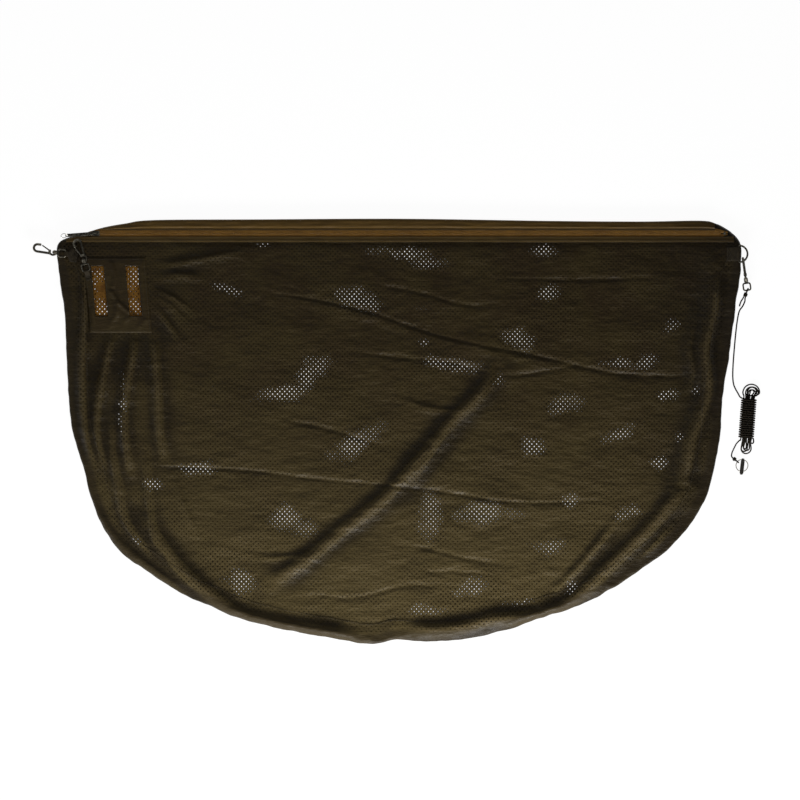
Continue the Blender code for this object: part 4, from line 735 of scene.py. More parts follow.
def cloth_material(name, dark, light, roughness, holed=None, rumple=0.5):
    """Nylon: dye, painted light and shade, weave and fine rumples; holed is "front" or "back" where it has the rows of
    holes.
    """
    material, tree, shader = new_material(name, roughness, sheen_weight=0.06, sheen_roughness=0.4)
    shader.inputs["Specular IOR Level"].default_value = 0.22
    place = flat_place(tree)
    x, y = split(tree, place)
    colour = dyed(tree, place, 11.0, dark, light)

    # Painted light, lighter towards the curved side, and painted shade, darker towards the right rim.
    painted_light_towards_curve = between(tree, y, -0.34, 0.30, 0.90, 0.0)
    colour = mixed(tree, painted_light_towards_curve, colour, (2.4 * light[0], 2.6 * light[1], 4.3 * light[2]))
    colour = mixed(tree, between(tree, x, 0.36, 0.58, 0.0, 0.60), colour, scaled(dark, 0.4))

    # Painted light along the creases' backs and painted shade on their flanks, with small pale marks all over.
    painted_crease_shading = share_of(tree, "painted_crease_shading")
    pale = (2.3 * light[0], 2.45 * light[1], 4.6 * light[2])
    colour = mixed(tree, between(tree, painted_crease_shading, 0.05, 0.9, 0.0, 0.62), colour, pale)
    colour = mixed(tree, between(tree, painted_crease_shading, -0.9, -0.05, 0.75, 0.0), colour, scaled(dark, 0.30))
    small = clouds(tree, squeezed(tree, place, 2.0), 90.0, 3.0)
    colour = mixed(tree, between(tree, small, 0.4, 0.75, 0.0, 0.30), colour, scaled(light, 1.5))

    # Relief: soft rumples, then sharper ones that come and go, then the threads.
    creases = clouds(tree, squeezed(tree, place, 2.6), 34.0, 4.0, 0.55)
    under = bump(tree, shader, creases, 0.0050, rumple)
    inputs = (("Vector", squeezed(tree, place, 2.4)), ("Scale", 9.0), ("Detail", 2.0), ("Lacunarity", 2.4))
    sharp = put(tree, "ShaderNodeTexNoise", inputs, noise_type="RIDGED_MULTIFRACTAL").outputs[0]
    calm = between(tree, clouds(tree, place, 7.0, 2.0), 0.42, 0.62, 0.1, 1.0)
    sharp = math_node(tree, "MULTIPLY", calm, between(tree, sharp, 0.55, 1.6))
    under = bump(tree, shader, sharp, 0.0030, 0.5, under)
    threads = group(tree, weave, (("Place", place), ("Thread", 0.0009)))[0]
    bump(tree, shader, threads, 0.0001, 0.5, under)

    if holed:
        # The holes close where the cloth turns down as the sack's wall, and the wall is darkened as painted shade.
        walled = share_of(tree, "walled")
        radius = math_node(tree, "MULTIPLY_ADD", walled, -1.2 * HOLE_RADIUS, HOLE_RADIUS)
        colour = mixed(tree, math_node(tree, "MULTIPLY", walled, 0.6), colour, scaled(dark, 0.4))
        together = share_of(tree, "together")
        # Strength of the painted shade round the holes' rims, in clouds.
        drawn = between(tree, clouds(tree, place, 8.0, 2.0), 0.42, 0.60, 0.10, 0.75)
        shift = 0.0
        if holed == "back":
            # Away from the patches the back's holes lie half a pitch along from the front's, and are narrower.
            drift = math_node(tree, "SUBTRACT", clouds(tree, place, 26.0, 2.0), 0.5)
            together = math_node(tree, "MULTIPLY_ADD", drift, 0.9, together)
            apart = math_node(tree, "SUBTRACT", 1.0, together, clamp=True)
            shift = math_node(tree, "MULTIPLY_ADD", apart, 0.44 * HOLE_ACROSS, 0.06 * HOLE_ACROSS)
            narrower = math_node(tree, "MULTIPLY", apart, -0.42)
            radius = math_node(tree, "MULTIPLY_ADD", narrower, radius, radius)
        else:
            # On the front the painted shade round the rims deepens round the patches.
            drawn = math_node(tree, "MAXIMUM", drawn, between(tree, together, 0.1, 0.6, 0.0, 0.95))
        cloth, rim = group(tree, holes, (("Place", place), ("Shift", shift), ("Radius", radius)))
        tree.links.new(cloth, shader.inputs["Alpha"])
        # Painted shade round the holes' rims.
        colour = mixed(tree, math_node(tree, "MULTIPLY", rim, drawn), colour, scaled(dark, 0.3))
    tree.links.new(colour, shader.inputs["Base Color"])
    worn = between(tree, small, 0.3, 0.7, roughness - 0.08, roughness + 0.10)
    tree.links.new(worn, shader.inputs["Roughness"])
    return material


front_nylon = cloth_material("perforated_nylon", (0.029, 0.0165, 0.0028), (0.045, 0.0305, 0.0068), 0.48, "front")
back_nylon = cloth_material("perforated_nylon_back", (0.026, 0.018, 0.005), (0.040, 0.028, 0.009), 0.60, "back")
plain_nylon = cloth_material("plain_nylon", (0.029, 0.0165, 0.0030), (0.045, 0.0305, 0.0072), 0.48)
front.data.materials.append(front_nylon)
back.data.materials.append(back_nylon)

# The gusset: a band of the front's perforated nylon round the curved side, its holes closed on the wall. It stands as
# the sack's low wall and its top edge lies over on the front, sewn down with a row of stitches along its hem.
FLAP_STEPS = (0.08, 0.17, 0.27, 0.37, 0.47, 0.57, 0.67, 0.77, 0.87, 0.95, 1.0)
WALL_POINTS = 11


def strip_faces(rows, count):
    """Faces of a sheet whose vertices are given row by row."""
    corners = [(i * count + k, (i + 1) * count + k) for i in range(rows - 1) for k in range(count - 1)]
    return [(a, b, b + 1, a + 1) for a, b in corners]


flaps = [CLOTH + 0.0003] * (turning + 1) + [flap_width(p) for p in outline[turning + 1 :]]
flap_inner = inset_loop(outline, flaps)
band = [i % len(outline) for i in range(turning, len(outline) + 1)]
rings = []
for i in band:
    outer, inner = outline[i], flap_inner[i]
    inwards = (inner - outer).normalized()
    reach = (inner - outer).length
    swell = 0.0007 * wave(outer.x, outer.y, 0.03, 4.0)
    ring = [(outer + inwards * 0.0030, 0.0006), (outer + inwards * 0.0012, 0.0003), (outer + inwards * 0.0002, 0.0012)]
    ring += [(outer, 0.0028), (outer + inwards * 0.0004, 0.0046), (outer + inwards * 0.0014, 0.0060)]
    ring += [(outer + inwards * max(share * reach, 0.0022), 0.0068) for share in FLAP_STEPS]
    ring += [(inner + inwards * 0.0004, 0.0066), (inner - inwards * 0.0004, 0.0062)]
    rings.append([(p.x, p.y, z + (swell if z > 0.003 else 0.0)) for p, z in ring])
rings = np.array(rings)
fade = np.clip(np.minimum(np.arange(len(band)), np.arange(len(band))[::-1]) / 14, 0, 1)[:, None]
lift, painted_crease_shading = crease_height(rings[:, :, 0].ravel(), rings[:, :, 1].ravel())
lift = lift.reshape(rings.shape[:2])
across = np.clip((np.arange(rings.shape[1]) - 5) / 3, 0, 1)[None, :]
rings[:, :, 2] += np.clip(lift, DEEPEST, HIGHEST) * across * fade
count = rings.shape[1]
faces = strip_faces(len(band), count)
points = rings.reshape(-1, 3)
gusset = add_piece("gusset_band", points, faces, [points[v][:2] for face in faces for v in face])
gusset.data.materials.append(front_nylon)
add_share(gusset, "walled", np.clip((WALL_POINTS - np.arange(len(points)) % count) / 2, 0, 1))
# Painted light and shade that follows the creases, on the band too.
add_share(gusset, "painted_crease_shading", painted_crease_shading)
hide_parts("gusset")
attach(gusset, "sack")


def stitches(name, route, pitch, length, radius):
    """Row of sewn stitches along a route: short threads that dip into the cloth at both ends."""
    fine = smooth_route(route, pitch / 4)
    travel = np.cumsum([0.0] + [(b - a).length for a, b in zip(fine, fine[1:])])
    runs = []
    for k in range(int(travel[-1] / pitch)):
        start = k * pitch
        stitch = []
        for share, sink in ((0.0, 0.9), (0.25, 0.1), (0.75, 0.1), (1.0, 0.9)):
            at = start + share * length
            i = min(int(np.searchsorted(travel, at)), len(fine) - 1)
            stitch.append(fine[i] - Vector((0, 0, sink * radius)))
        if (stitch[-1] - stitch[0]).length > 0.3 * length:
            runs.append((stitch, radius))
    piece = tubes(name, runs, 5)
    piece.data.materials.append(thread)
    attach(piece, "sack")


def slanting_lines(tree, scale, distortion):
    inputs = (("Vector", flat_place(tree)), ("Scale", scale), ("Distortion", distortion))
    return put(tree, "ShaderNodeTexWave", inputs, bands_direction="DIAGONAL").outputs[0]


thread, tree, shader = new_material("sewing_thread", 0.6)
twist = slanting_lines(tree, 900.0, 0.5)
tree.links.new(mixed(tree, twist, (0.020, 0.014, 0.006), (0.052, 0.038, 0.018)), shader.inputs["Base Color"])
bump(tree, shader, twist, 0.0001, 0.6)
hem = [tuple(ring[count - 4]) for ring in rings[2:-2]]
stitches("gusset_stitches", hem, 0.0042, 0.0030, 0.00032)

# The zip: two woven tapes with a spiral of nylon teeth sewn along each. A strip of the sack's cloth
# is folded over either side of it, so that only the teeth and a little tape show.
CHAIN_LEFT = -0.542
CHAIN_RIGHT = 0.570
STRIP_INNER = 0.0052
TOOTH_PITCH = 0.00165
strip_nylon = cloth_material("strip_nylon", (0.074, 0.038, 0.0050), (0.112, 0.060, 0.0085), 0.50, rumple=0.35)
hem_nylon = cloth_material("hem_nylon", (0.048, 0.026, 0.0040), (0.078, 0.046, 0.0080), 0.50, rumple=0.35)


def edge_height(points, x):
    """Height of an edge that runs along X, at x."""
    for a, b in zip(points, points[1:]):
        if min(a.x, b.x) <= x <= max(a.x, b.x):
            return a.y + (b.y - a.y) * (x - a.x) / ((b.x - a.x) or 1.0)
    return min(points, key=lambda p: abs(p.x - x)).y


def long_strip(name, stations, profile, material, node):
    """Sheet through profiles of (y, z) at each x; the cloth's own place goes in its uvs."""
    rings = [[(x, y, z) for y, z in profile(x)] for x in stations]
    count = len(rings[0])
    girth = [0.0]
    for a, b in zip(rings[len(rings) // 2], rings[len(rings) // 2][1:]):
        girth.append(girth[-1] + (Vector(b) - Vector(a)).length)
    vertices = [v for ring in rings for v in ring]
    faces = strip_faces(len(rings), count)
    piece = add_piece(name, vertices, faces, [(stations[v // count], girth[v % count]) for face in faces for v in face])
    piece.data.materials.append(material)
    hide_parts(node)
    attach(piece, "sack")
    return piece


def steps_between(low, high, size):
    """Even steps of about the size, with both ends."""
    count = round((high - low) / size)
    return [low + (high - low) * i / count for i in range(count + 1)]


def upper_profile(x):
    """From the ground up the outer wall, over the top with its ridge, to the fold beside the teeth."""
    outer = edge_height(zip_side, x)
    inner = CHAIN_Y + STRIP_INNER + 0.0004 * wave(x, 0.0, 0.03, 6.0)
    width = outer - inner
    swell = 0.0005 * wave(x, 0.3, 0.035, 8.0)
    ridge = 0.0114 + 0.0008 * wave(x, 0.7, 0.05, 2.5)
    wall = ((0.0020, 0.0007), (0.0002, 0.0018), (-0.0002, 0.0046), (0.0004, 0.0078))
    top = ((0.24, 0.0101 + swell), (0.38, 0.0104 - swell), (0.52, 0.0108), (0.62, ridge))
    top += ((0.70, 0.0107), (0.82, 0.0097), (0.90, 0.0096))
    fold = ((0.0010, 0.0103), (0.0002, 0.0102), (0.0, 0.0097), (0.0012, 0.0095))
    points = [(outer - in_by, z) for in_by, z in wall] + [(outer - min(0.0018, 0.2 * width), 0.0096 + swell)]
    return points + [(outer - share * width, z) for share, z in top] + [(inner + out_by, z) for out_by, z in fold]


def lower_profile(x):
    """From the fold beside the teeth over to the hem, whose edge stands on the front cloth."""
    inner = min(CHAIN_Y - STRIP_INNER, edge_height(top_edge, x) - 0.002) + 0.0003 * wave(x, 0.2, 0.03, 1.0)
    hem = HEM_Y + 0.0006 * wave(x, 0.5, 0.06, 4.0)
    swell = 0.0004 * wave(x, 0.1, 0.03, 3.0)
    span = inner - hem
    fold = ((0.0012, 0.0095), (0.0, 0.0097), (0.0002, 0.0103))
    top = ((0.10, 0.0105 + swell), (0.28, 0.0101), (0.50, 0.0106 + swell), (0.72, 0.0110 - swell))
    edge = ((0.0005, 0.0109), (0.0, 0.01085), (0.0002, 0.0104), (0.0004, 0.0084), (0.0010, 0.0074))
    points = [(inner - in_by, z) for in_by, z in fold] + [(inner - share * span, z) for share, z in top]
    return points + [(hem + out_by, z) for out_by, z in (*edge, (0.35 * span, 0.0070))]


top_edge = sorted((p for p in outline if p.y > HEM_Y - 0.02), key=lambda p: p.x)
for name, low, high, profile, nylon, node, width in (
    ("zip_strip_above", -0.5178, 0.5478, upper_profile, strip_nylon, "zip_strip_upper", 0.033),
    ("zip_strip_below", -0.5808, 0.5808, lower_profile, hem_nylon, "zip_strip_lower", 0.024),
):
    strip = long_strip(name, steps_between(low, high, 0.0045), profile, nylon, node)
for name, side, back_off in (("above", 1, 0.0013), ("below", -1, 0.0012)):
    low, high = (-0.512, 0.543) if side > 0 else (-0.560, 0.572)
    rows = (back_off, 0.01045), (back_off + 0.0056, 0.0109 if side > 0 else 0.01105)
    for row, (off, z) in enumerate(rows):
        route = [(x, CHAIN_Y + side * (STRIP_INNER + off), z) for x in steps_between(low, high, 0.03)]
        if side > 0 and row:
            route = [point for point in route if edge_height(zip_side, point[0]) - point[1] > 0.004]
        stitches(f"strip_{name}_stitches_{row + 1}", route, 0.0040, 0.0029, 0.00030)

# The tape's orange is its own, lightened further as painted light to make up for the strips' shadow over it.
tape, tree, shader = new_material("zip_tape", 0.65, sheen_weight=0.3)
ribs = slanting_lines(tree, 420.0, 0.0)
tint = dyed(tree, flat_place(tree), 30.0, (0.330, 0.150, 0.012), (0.520, 0.250, 0.022))
shaded = math_node(tree, "MULTIPLY", ribs, 0.35)
tree.links.new(mixed(tree, shaded, tint, (0.09, 0.045, 0.01)), shader.inputs["Base Color"])
bump(tree, shader, ribs, 0.0002, 0.5)


def tape_profile(side):
    def profile(x):
        end = min(max(min(x - CHAIN_LEFT, CHAIN_RIGHT - x) / 0.018, 0.0), 1.0)
        reach = 0.0028 + 0.0052 * end
        lift = 0.0001 * wave(x, side, 0.02, 5.5)
        edges = ((0.0008, 0.00885), (0.0012, 0.00905), (0.45 * reach, 0.0090), (0.8 * reach, 0.0090 + lift))
        return [(CHAIN_Y + side * y, z) for y, z in (*edges, (reach, 0.0087))]

    return profile


# The teeth's orange is likewise their own, lightened further as painted light against the strips' shadow.
tooth_nylon, tree, shader = new_material("tooth_nylon", 0.38)
shade = clouds(tree, flat_place(tree), 300.0, 3.0)
tree.links.new(mixed(tree, shade, (0.260, 0.125, 0.015), (0.420, 0.215, 0.032)), shader.inputs["Base Color"])
bump(tree, shader, shade, 0.0001, 0.3)
for name, side in (("upper", 1), ("lower", -1)):
    stations = steps_between(CHAIN_LEFT, CHAIN_RIGHT, 0.006)
    long_strip(f"zip_tape_{name}_woven", stations, tape_profile(side), tape, f"zip_tape_{name}")
    runs = []
    first = CHAIN_LEFT + 0.0060 + (0.0 if side > 0 else TOOTH_PITCH / 2)
    for k in range(int((CHAIN_RIGHT - 0.0100 - first) / TOOTH_PITCH)):
        x = first + k * TOOTH_PITCH
        bent = ((0.00235, 0.0094), (0.00215, 0.0106), (0.0011, 0.0113), (-0.0002, 0.0110))
        runs.append(([(x, CHAIN_Y + side * y, z) for y, z in bent], [0.00034, 0.00038, 0.00040, 0.00046]))
    teeth = tubes(f"zip_teeth_{name}", runs, 5)
    teeth.data.materials.append(tooth_nylon)
    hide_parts(f"zip_coil_{name}")
    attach(teeth, "sack")

# Webbing tabs: strips of olive webbing folded in two round the hook's eye, the D-ring and the bar of
# the hook on the pocket, and sewn to the sack with a box of stitches crossed from corner to corner.
WEBBING = 0.0014
webbing, tree, shader = new_material("ribbed_webbing", 0.75)
shader.inputs["Specular IOR Level"].default_value = 0.25
place = flat_place(tree)
x, y = split(tree, place)
ribs = math_node(tree, "SINE", math_node(tree, "MULTIPLY", x, 2 * math.pi / 0.0021))
picks = math_node(tree, "SINE", math_node(tree, "MULTIPLY", y, 2 * math.pi / 0.0011))
ribbed = math_node(tree, "MULTIPLY_ADD", ribs, 0.35, math_node(tree, "MULTIPLY_ADD", picks, 0.15, 0.5))
tint = dyed(tree, place, 60.0, (0.020, 0.014, 0.006), (0.042, 0.031, 0.014))
shaded = between(tree, ribbed, 0.0, 0.6, 0.45, 0.0)
tree.links.new(mixed(tree, shaded, tint, (0.014, 0.010, 0.005)), shader.inputs["Base Color"])
bump(tree, shader, ribbed, 0.0004, 0.8)


def folded_webbing(name, bar, out, radius, length, low_z, narrow, width, node):
    """Strip in two plies, round a bar and back; it narrows where it passes through an eye."""
    turn = radius + 0.0003 + WEBBING / 2
    low = low_z + WEBBING / 2
    high = low + WEBBING + 0.0003
    route = [(-length, low), (-0.85 * length, low), (-0.6 * length, low)]
    route += arc((0.0, bar.z), turn, -112, 112, 16)
    route += [(-0.6 * length, high), (-0.85 * length, high), (-length, high)]
    route = smooth_route([(x, z, 0) for x, z in route], 0.0012)
    side = Vector((-out.y, out.x, 0))
    shares = (-1.0, -0.94, -0.5, 0.0, 0.5, 0.94, 1.0)
    skins = (0.30, 0.48, 0.5, 0.5, 0.5, 0.48, 0.30)
    vertices, uvs_of = [], []
    travel = 0.0
    for i, point in enumerate(route):
        ahead = route[min(i + 1, len(route) - 1)] - route[max(i - 1, 0)]
        travel += (point - route[max(i - 1, 0)]).length
        skin = Vector((-ahead.y, ahead.x)).normalized() * WEBBING
        wide = narrow + (width - narrow) * min(max((-point.x - 0.0050) / 0.0045, 0.0), 1.0)
        for sign in (1, -1):
            for share, thick in zip(shares[::sign], skins[::sign]):
                place = Vector((bar.x, bar.y, 0)) + out * (point.x + sign * skin.x * thick) + side * share * wide / 2
                vertices.append((place.x, place.y, point.y + sign * skin.y * thick))
                uvs_of.append((share * wide / 2, travel))
    count = 2 * len(shares)
    faces = []
    for i in range(len(route) - 1):
        for k in range(count):
            j = (k + 1) % count
            faces.append((i * count + k, i * count + j, (i + 1) * count + j, (i + 1) * count + k))
    faces += [list(range(count))[::-1], list(range(len(vertices) - count, len(vertices)))]
    piece = add_piece(name, vertices, faces, [uvs_of[v] for face in faces for v in face])
    piece.data.materials.append(webbing)
    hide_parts(node)
    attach(piece, "sack")
    return high + WEBBING / 2


EYE_BAR = 0.0015
RING_BAR = 0.00175
EYE_INSIDE = 0.0125 - 2 * EYE_BAR - 0.00195 + 0.0015
TAB_WIDTH = 0.025
LOOP_BAR = (-0.5455, 0.27928, 0.0140)
for name, node, bar, angle, radius, length, low_z, narrow, width in (
    ("tab_by_the_slider", "tab_left", (-0.582, 0.30904, 0.0115), 171.5, EYE_BAR, 0.0215, 0.0069, EYE_INSIDE, TAB_WIDTH),
    ("tab_by_the_ring", "tab_right", (0.590, 0.30904, 0.01035), 0.0, RING_BAR, 0.0215, 0.0069, TAB_WIDTH, TAB_WIDTH),
    ("loop_on_the_pocket", "clip_loop", LOOP_BAR, 104.5, EYE_BAR, 0.0170, 0.0082, EYE_INSIDE, EYE_INSIDE),
):
    bar = Vector(bar)
    out = Vector((math.cos(math.radians(angle)), math.sin(math.radians(angle)), 0))
    top = folded_webbing(name, bar, out, radius, length, low_z, narrow, width, node)
    side = Vector((-out.y, out.x, 0))
    near, far, half = -0.0095 if width == TAB_WIDTH else -0.0110, -length + 0.0012, width / 2 - 0.0018
    box = [(near, half), (near, -half), (far, -half), (far, half), (near, half)]
    cross = [(near, half), (far, -half)], [(near, -half), (far, half)]
    for k, line in enumerate((box, *cross) if width == TAB_WIDTH else (box,)):
        route = []
        for (a, b), (c, d) in zip(line, line[1:]):
            run = math.hypot(c - a, d - b)
            for i in range(max(1, round(run / 0.002))):
                share = i / max(1, round(run / 0.002))
                route.append(bar + out * (a + (c - a) * share) + side * (b + (d - b) * share))
        route.append(bar + out * line[-1][0] + side * line[-1][1])
        route = [(p.x, p.y, top + 0.0001) for p in route]
        stitches(f"{name}_stitches_{k + 1}", route, 0.0026, 0.0020, 0.00028)

# The corner pocket: a small flat bag of plain nylon with two upright windows of orange mesh, drawn
# in a little where it is sewn down along its right side and its foot.
POCKET_WIDTH = 0.108
POCKET_HEIGHT = 0.131
POCKET_SLANT = 0.085
WINDOWS = ((0.0125, 0.0340), (0.0720, 0.0935))
WINDOW_TOP = 0.015
WINDOW_FOOT = 0.102
NET_LAP = 0.0015
pocket_left = -HALF_LENGTH + 0.046
pocket_top = CHAIN_Y - 0.042
# Folds of the pocket: height, half width, route from its top left corner, across and down
POCKET_FOLDS = (
    (0.0022, 0.0030, ((0.044, 0.060), (0.056, 0.080), (0.070, 0.094), (0.082, 0.102))),
    (-0.0008, 0.0040, ((0.050, 0.056), (0.062, 0.078), (0.076, 0.090))),
    (0.0026, 0.0040, ((0.030, 0.131), (0.040, 0.112), (0.050, 0.100), (0.052, 0.080))),
    (0.0022, 0.0040, ((0.056, 0.131), (0.060, 0.116), (0.068, 0.106))),
    (0.0024, 0.0035, ((0.082, 0.131), (0.088, 0.118), (0.098, 0.110))),
    (0.0018, 0.0030, ((0.008, 0.131), (0.010, 0.112), (0.004, 0.090))),
    (0.0016, 0.0030, ((0.048, 0.010), (0.052, 0.030), (0.048, 0.050))),
    (0.0016, 0.0026, ((0.101, 0.006), (0.100, 0.050), (0.101, 0.100), (0.100, 0.128))),
)


def pocket_level(u, v):
    """Height of the pocket's cloth, u across and v down from its top left corner."""
    level = 0.0
    for tall, half, route in POCKET_FOLDS:
        far = float(route_reach(np.array([u]), np.array([v]), route)[0][0])
        level += tall * math.exp(-((far / half) ** 2))
    swell = 0.0006 * (1 + wave(u, v, 0.022, 6.2))
    hem = min(min(u, POCKET_WIDTH - u, v) / 0.010, (POCKET_HEIGHT - v) / 0.038, 1.0)
    return 0.0067 + (0.0006 + swell + max(1.3 * level, -0.0002)) * max(hem, 0.0)


def pocket_lines(size, marks):
    """Even lines of a grid over the size, with one on each mark."""
    lines = sorted({0.0, size, *marks})
    fine = []
    for a, b in zip(lines, lines[1:]):
        count = max(1, round((b - a) / 0.0024))
        fine += [a + (b - a) * i / count for i in range(count)]
    return [*fine, size]


def pocket_piece(name, across, down, level, skip=lambda u, v: False):
    """Grid laid slantwise on the sack where the pocket is, without the cells that skip names."""
    vertices = [(pocket_left + u + POCKET_SLANT * v, pocket_top - v, level(u, v)) for v in down for u in across]
    faces = []
    for j in range(len(down) - 1):
        for i in range(len(across) - 1):
            if not skip((across[i] + across[i + 1]) / 2, (down[j] + down[j + 1]) / 2):
                a = j * len(across) + i
                faces.append((a, a + len(across), a + len(across) + 1, a + 1))
    return add_piece(name, vertices, faces, [vertices[v][:2] for face in faces for v in face])


def in_window(u, v):
    return WINDOW_TOP < v < WINDOW_FOOT and any(a < u < b for a, b in WINDOWS)


across = pocket_lines(POCKET_WIDTH, [edge for window in WINDOWS for edge in window])
down = pocket_lines(POCKET_HEIGHT, [WINDOW_TOP, WINDOW_FOOT])
pocket = pocket_piece("pocket_cloth", across, down, pocket_level, in_window)
pocket.data.materials.append(plain_nylon)
turn_in = pocket.modifiers.new("cloth thickness", "SOLIDIFY")
turn_in.thickness = 0.0004
turn_in.offset = 1.0
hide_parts("pocket")
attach(pocket, "sack")

net_cloth, tree, shader = new_material("orange_net", 0.55)
shader.inputs["Specular IOR Level"].default_value = 0.25
place = flat_place(tree)
open_holes = between(tree, share_of(tree, "together"), 0.25, 0.7, 0.00030, 0.00125)
tree.links.new(group(tree, holes, (("Place", place), ("Radius", open_holes)))[0], shader.inputs["Alpha"])
tint = dyed(tree, place, 70.0, (0.150, 0.060, 0.003), (0.290, 0.135, 0.012))
threads = group(tree, weave, (("Place", place), ("Thread", 0.0014)))[0]
shaded = math_node(tree, "MULTIPLY", threads, 0.3)
tree.links.new(mixed(tree, shaded, tint, (0.09, 0.035, 0.002)), shader.inputs["Base Color"])
bump(tree, shader, threads, 0.0003, 0.7)
for side, (first, last) in zip(("left", "right"), WINDOWS):
    across = [first - NET_LAP + u for u in pocket_lines(last - first + 2 * NET_LAP, [])]
    down = [WINDOW_TOP - NET_LAP + v for v in pocket_lines(WINDOW_FOOT - WINDOW_TOP + 2 * NET_LAP, [])]
    net = pocket_piece(f"orange_net_{side}", across, down, lambda u, v: 0.0070 + 0.00015 * wave(u, v, 0.01, 3.3))
    place_of = np.array([v.co[:2] for v in net.data.vertices])
    add_share(net, "together", patch_share(place_of[:, 0], place_of[:, 1]))
    net.data.materials.append(net_cloth)
    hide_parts(f"mesh_strip_{side}")
    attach(net, "sack")


def on_pocket(points):
    fine = smooth_route([(u, v, 0) for u, v in points], 0.003)
    return [(pocket_left + p.x + POCKET_SLANT * p.y, pocket_top - p.y, pocket_level(p.x, p.y) + 0.0005) for p in fine]


rows = [((0.003, 0.003), (0.105, 0.003)), ((0.003, 0.006), (0.003, 0.128)), ((0.105, 0.006), (0.105, 0.128))]
rows.append(((0.004, 0.128), (0.104, 0.128)))
for a, b in WINDOWS:
    rows += [((u, WINDOW_TOP), (u, WINDOW_FOOT)) for u in (a - NET_LAP, b + NET_LAP)]
    rows += [((a, v), (b, v)) for v in (WINDOW_TOP - NET_LAP, WINDOW_FOOT + NET_LAP)]
for k, row in enumerate(rows):
    stitches(f"pocket_stitches_{k + 1}", on_pocket(row), 0.0036, 0.0026, 0.00028)

# The metal and plastic parts keep their cast and bent solids and get their finishes.
braid, tree, shader = new_material("braided_cord", 0.8)
shader.inputs["Specular IOR Level"].default_value = 0.15
place = flat_place(tree)
x, y = split(tree, place)
along = math_node(tree, "MULTIPLY", x, 2 * math.pi / 0.0016)
lines = []
for sign in (1.0, -1.0):
    lines.append(math_node(tree, "SINE", math_node(tree, "MULTIPLY_ADD", y, sign * 2 * math.pi / 0.0013, along)))
plait = between(tree, math_node(tree, "MAXIMUM", *lines), -0.4, 1.0)
tree.links.new(mixed(tree, plait, (0.007, 0.005, 0.003), (0.026, 0.020, 0.012)), shader.inputs["Base Color"])
bump(tree, shader, plait, 0.0003, 0.8)
for piece in (cord_near, cord_long, eye_knot, ring_knot):
    piece.data.materials.append(braid)


def metal_material(name, colour, worn_colour, roughness):
    material, tree, shader = new_material(name, roughness, 1.0)
    place = solid_place(tree)
    worn, grain = group(tree, wear, (("Place", place), ("Size", 260.0)))
    tint = mixed(tree, between(tree, grain, 0.3, 0.7), scaled(colour, 0.75), colour)
    tree.links.new(mixed(tree, worn, tint, worn_colour), shader.inputs["Base Color"])
    tree.links.new(between(tree, grain, 0.3, 0.7, roughness - 0.07, roughness + 0.1), shader.inputs["Roughness"])
    bump(tree, shader, grain, 0.0002, 0.3)
    return material


gunmetal = metal_material("gunmetal_plating", (0.070, 0.064, 0.050), (0.26, 0.24, 0.19), 0.38)
dark_metal = metal_material("dark_plating", (0.034, 0.031, 0.025), (0.15, 0.14, 0.11), 0.38)
steel = metal_material("bright_wire", (0.45, 0.42, 0.36), (0.7, 0.68, 0.6), 0.25)
rubber, tree, shader = new_material("moulded_rubber", 0.62)
grain = clouds(tree, solid_place(tree), 700.0, 4.0)
speckled = mixed(tree, between(tree, grain, 0.35, 0.65), (0.012, 0.010, 0.007), (0.040, 0.034, 0.026))
tree.links.new(speckled, shader.inputs["Base Color"])
bump(tree, shader, grain, 0.0002, 0.5)
finishes = {
    rubber: "ring_tag",
    gunmetal: "zip_top_stop_upper zip_top_stop_lower zip_bottom_stop d_ring left_eye left_hook front_eye "
    "front_hook right_eye right_hook",
    dark_metal: "zip_slider pull_tab left_gate front_gate right_gate left_gate_pin front_gate_pin right_gate_pin",
    steel: "pull_ring end_ring",
}
for material, names in finishes.items():
    for name in names.split():
        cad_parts[name].data.materials.clear()
        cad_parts[name].data.materials.append(material)

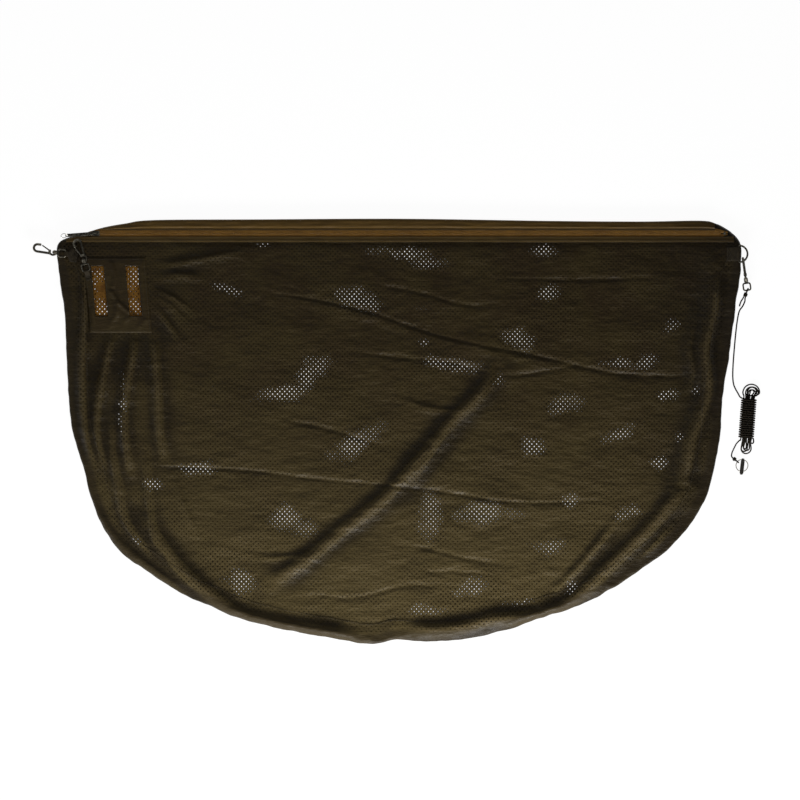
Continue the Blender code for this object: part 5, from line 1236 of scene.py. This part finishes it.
# Floor and light: a pale floor, a large soft lamp beyond the sack's curved side, a second one above,
# and a pale room. The floor and the room look white to the camera and in the metal.
floor = add_piece("floor", [(-6, -6, 0), (6, -6, 0), (6, 6, 0), (-6, 6, 0)], [(0, 1, 2, 3)], smooth=False)
paper, tree, shader = new_material("pale_floor", 0.9)
shader.inputs["Base Color"].default_value = (0.8, 0.8, 0.8, 1.0)
ray = put(tree, "ShaderNodeLightPath").outputs
seen = math_node(tree, "MAXIMUM", ray["Is Camera Ray"], ray["Is Glossy Ray"])
seen = math_node(tree, "MAXIMUM", seen, ray["Is Transmission Ray"])
glow = put(tree, "ShaderNodeEmission", (("Color", (1.0, 1.0, 1.0, 1.0)), ("Strength", 1.16)))
share = math_node(tree, "MULTIPLY", seen, 0.82)
blend = put(tree, "ShaderNodeMixShader", ((0, share), (1, shader.outputs[0]), (2, glow.outputs[0])))
tree.links.new(blend.outputs[0], tree.nodes["Material Output"].inputs["Surface"])
floor.data.materials.append(paper)

room = bpy.data.worlds.new("pale_room")
bpy.context.scene.world = room
room.use_nodes = True
tree = room.node_tree
ray = put(tree, "ShaderNodeLightPath").outputs
seen = math_node(tree, "MAXIMUM", ray["Is Camera Ray"], ray["Is Transmission Ray"])
strength = math_node(tree, "MULTIPLY_ADD", seen, 0.90, 0.10)
strength = math_node(tree, "MULTIPLY_ADD", ray["Is Glossy Ray"], 0.15, strength)
tree.links.new(strength, tree.nodes["Background"].inputs["Strength"])
tree.nodes["Background"].inputs["Color"].default_value = (1.0, 1.0, 1.0, 1.0)


def soft_lamp(name, place, towards, size, power):
    lamp = bpy.data.lights.new(name, "AREA")
    lamp.shape = "RECTANGLE"
    lamp.size, lamp.size_y = size
    lamp.energy = power
    made = bpy.data.objects.new(name, lamp)
    made.location = place
    made.rotation_euler = (Vector(towards) - Vector(place)).to_track_quat("-Z", "Y").to_euler()
    bpy.context.scene.collection.objects.link(made)


soft_lamp("lamp_beyond_the_curve", (0.25, -1.35, 0.50), (0.0, -0.1, 0.0), (1.2, 0.30), 24.0)
soft_lamp("lamp_at_the_left", (-1.35, -0.55, 0.42), (-0.2, 0.0, 0.0), (0.6, 0.3), 2.8)
soft_lamp("lamp_above", (-0.8, 1.0, 2.4), (0.0, 0.1, 0.0), (1.2, 1.2), 3.0)
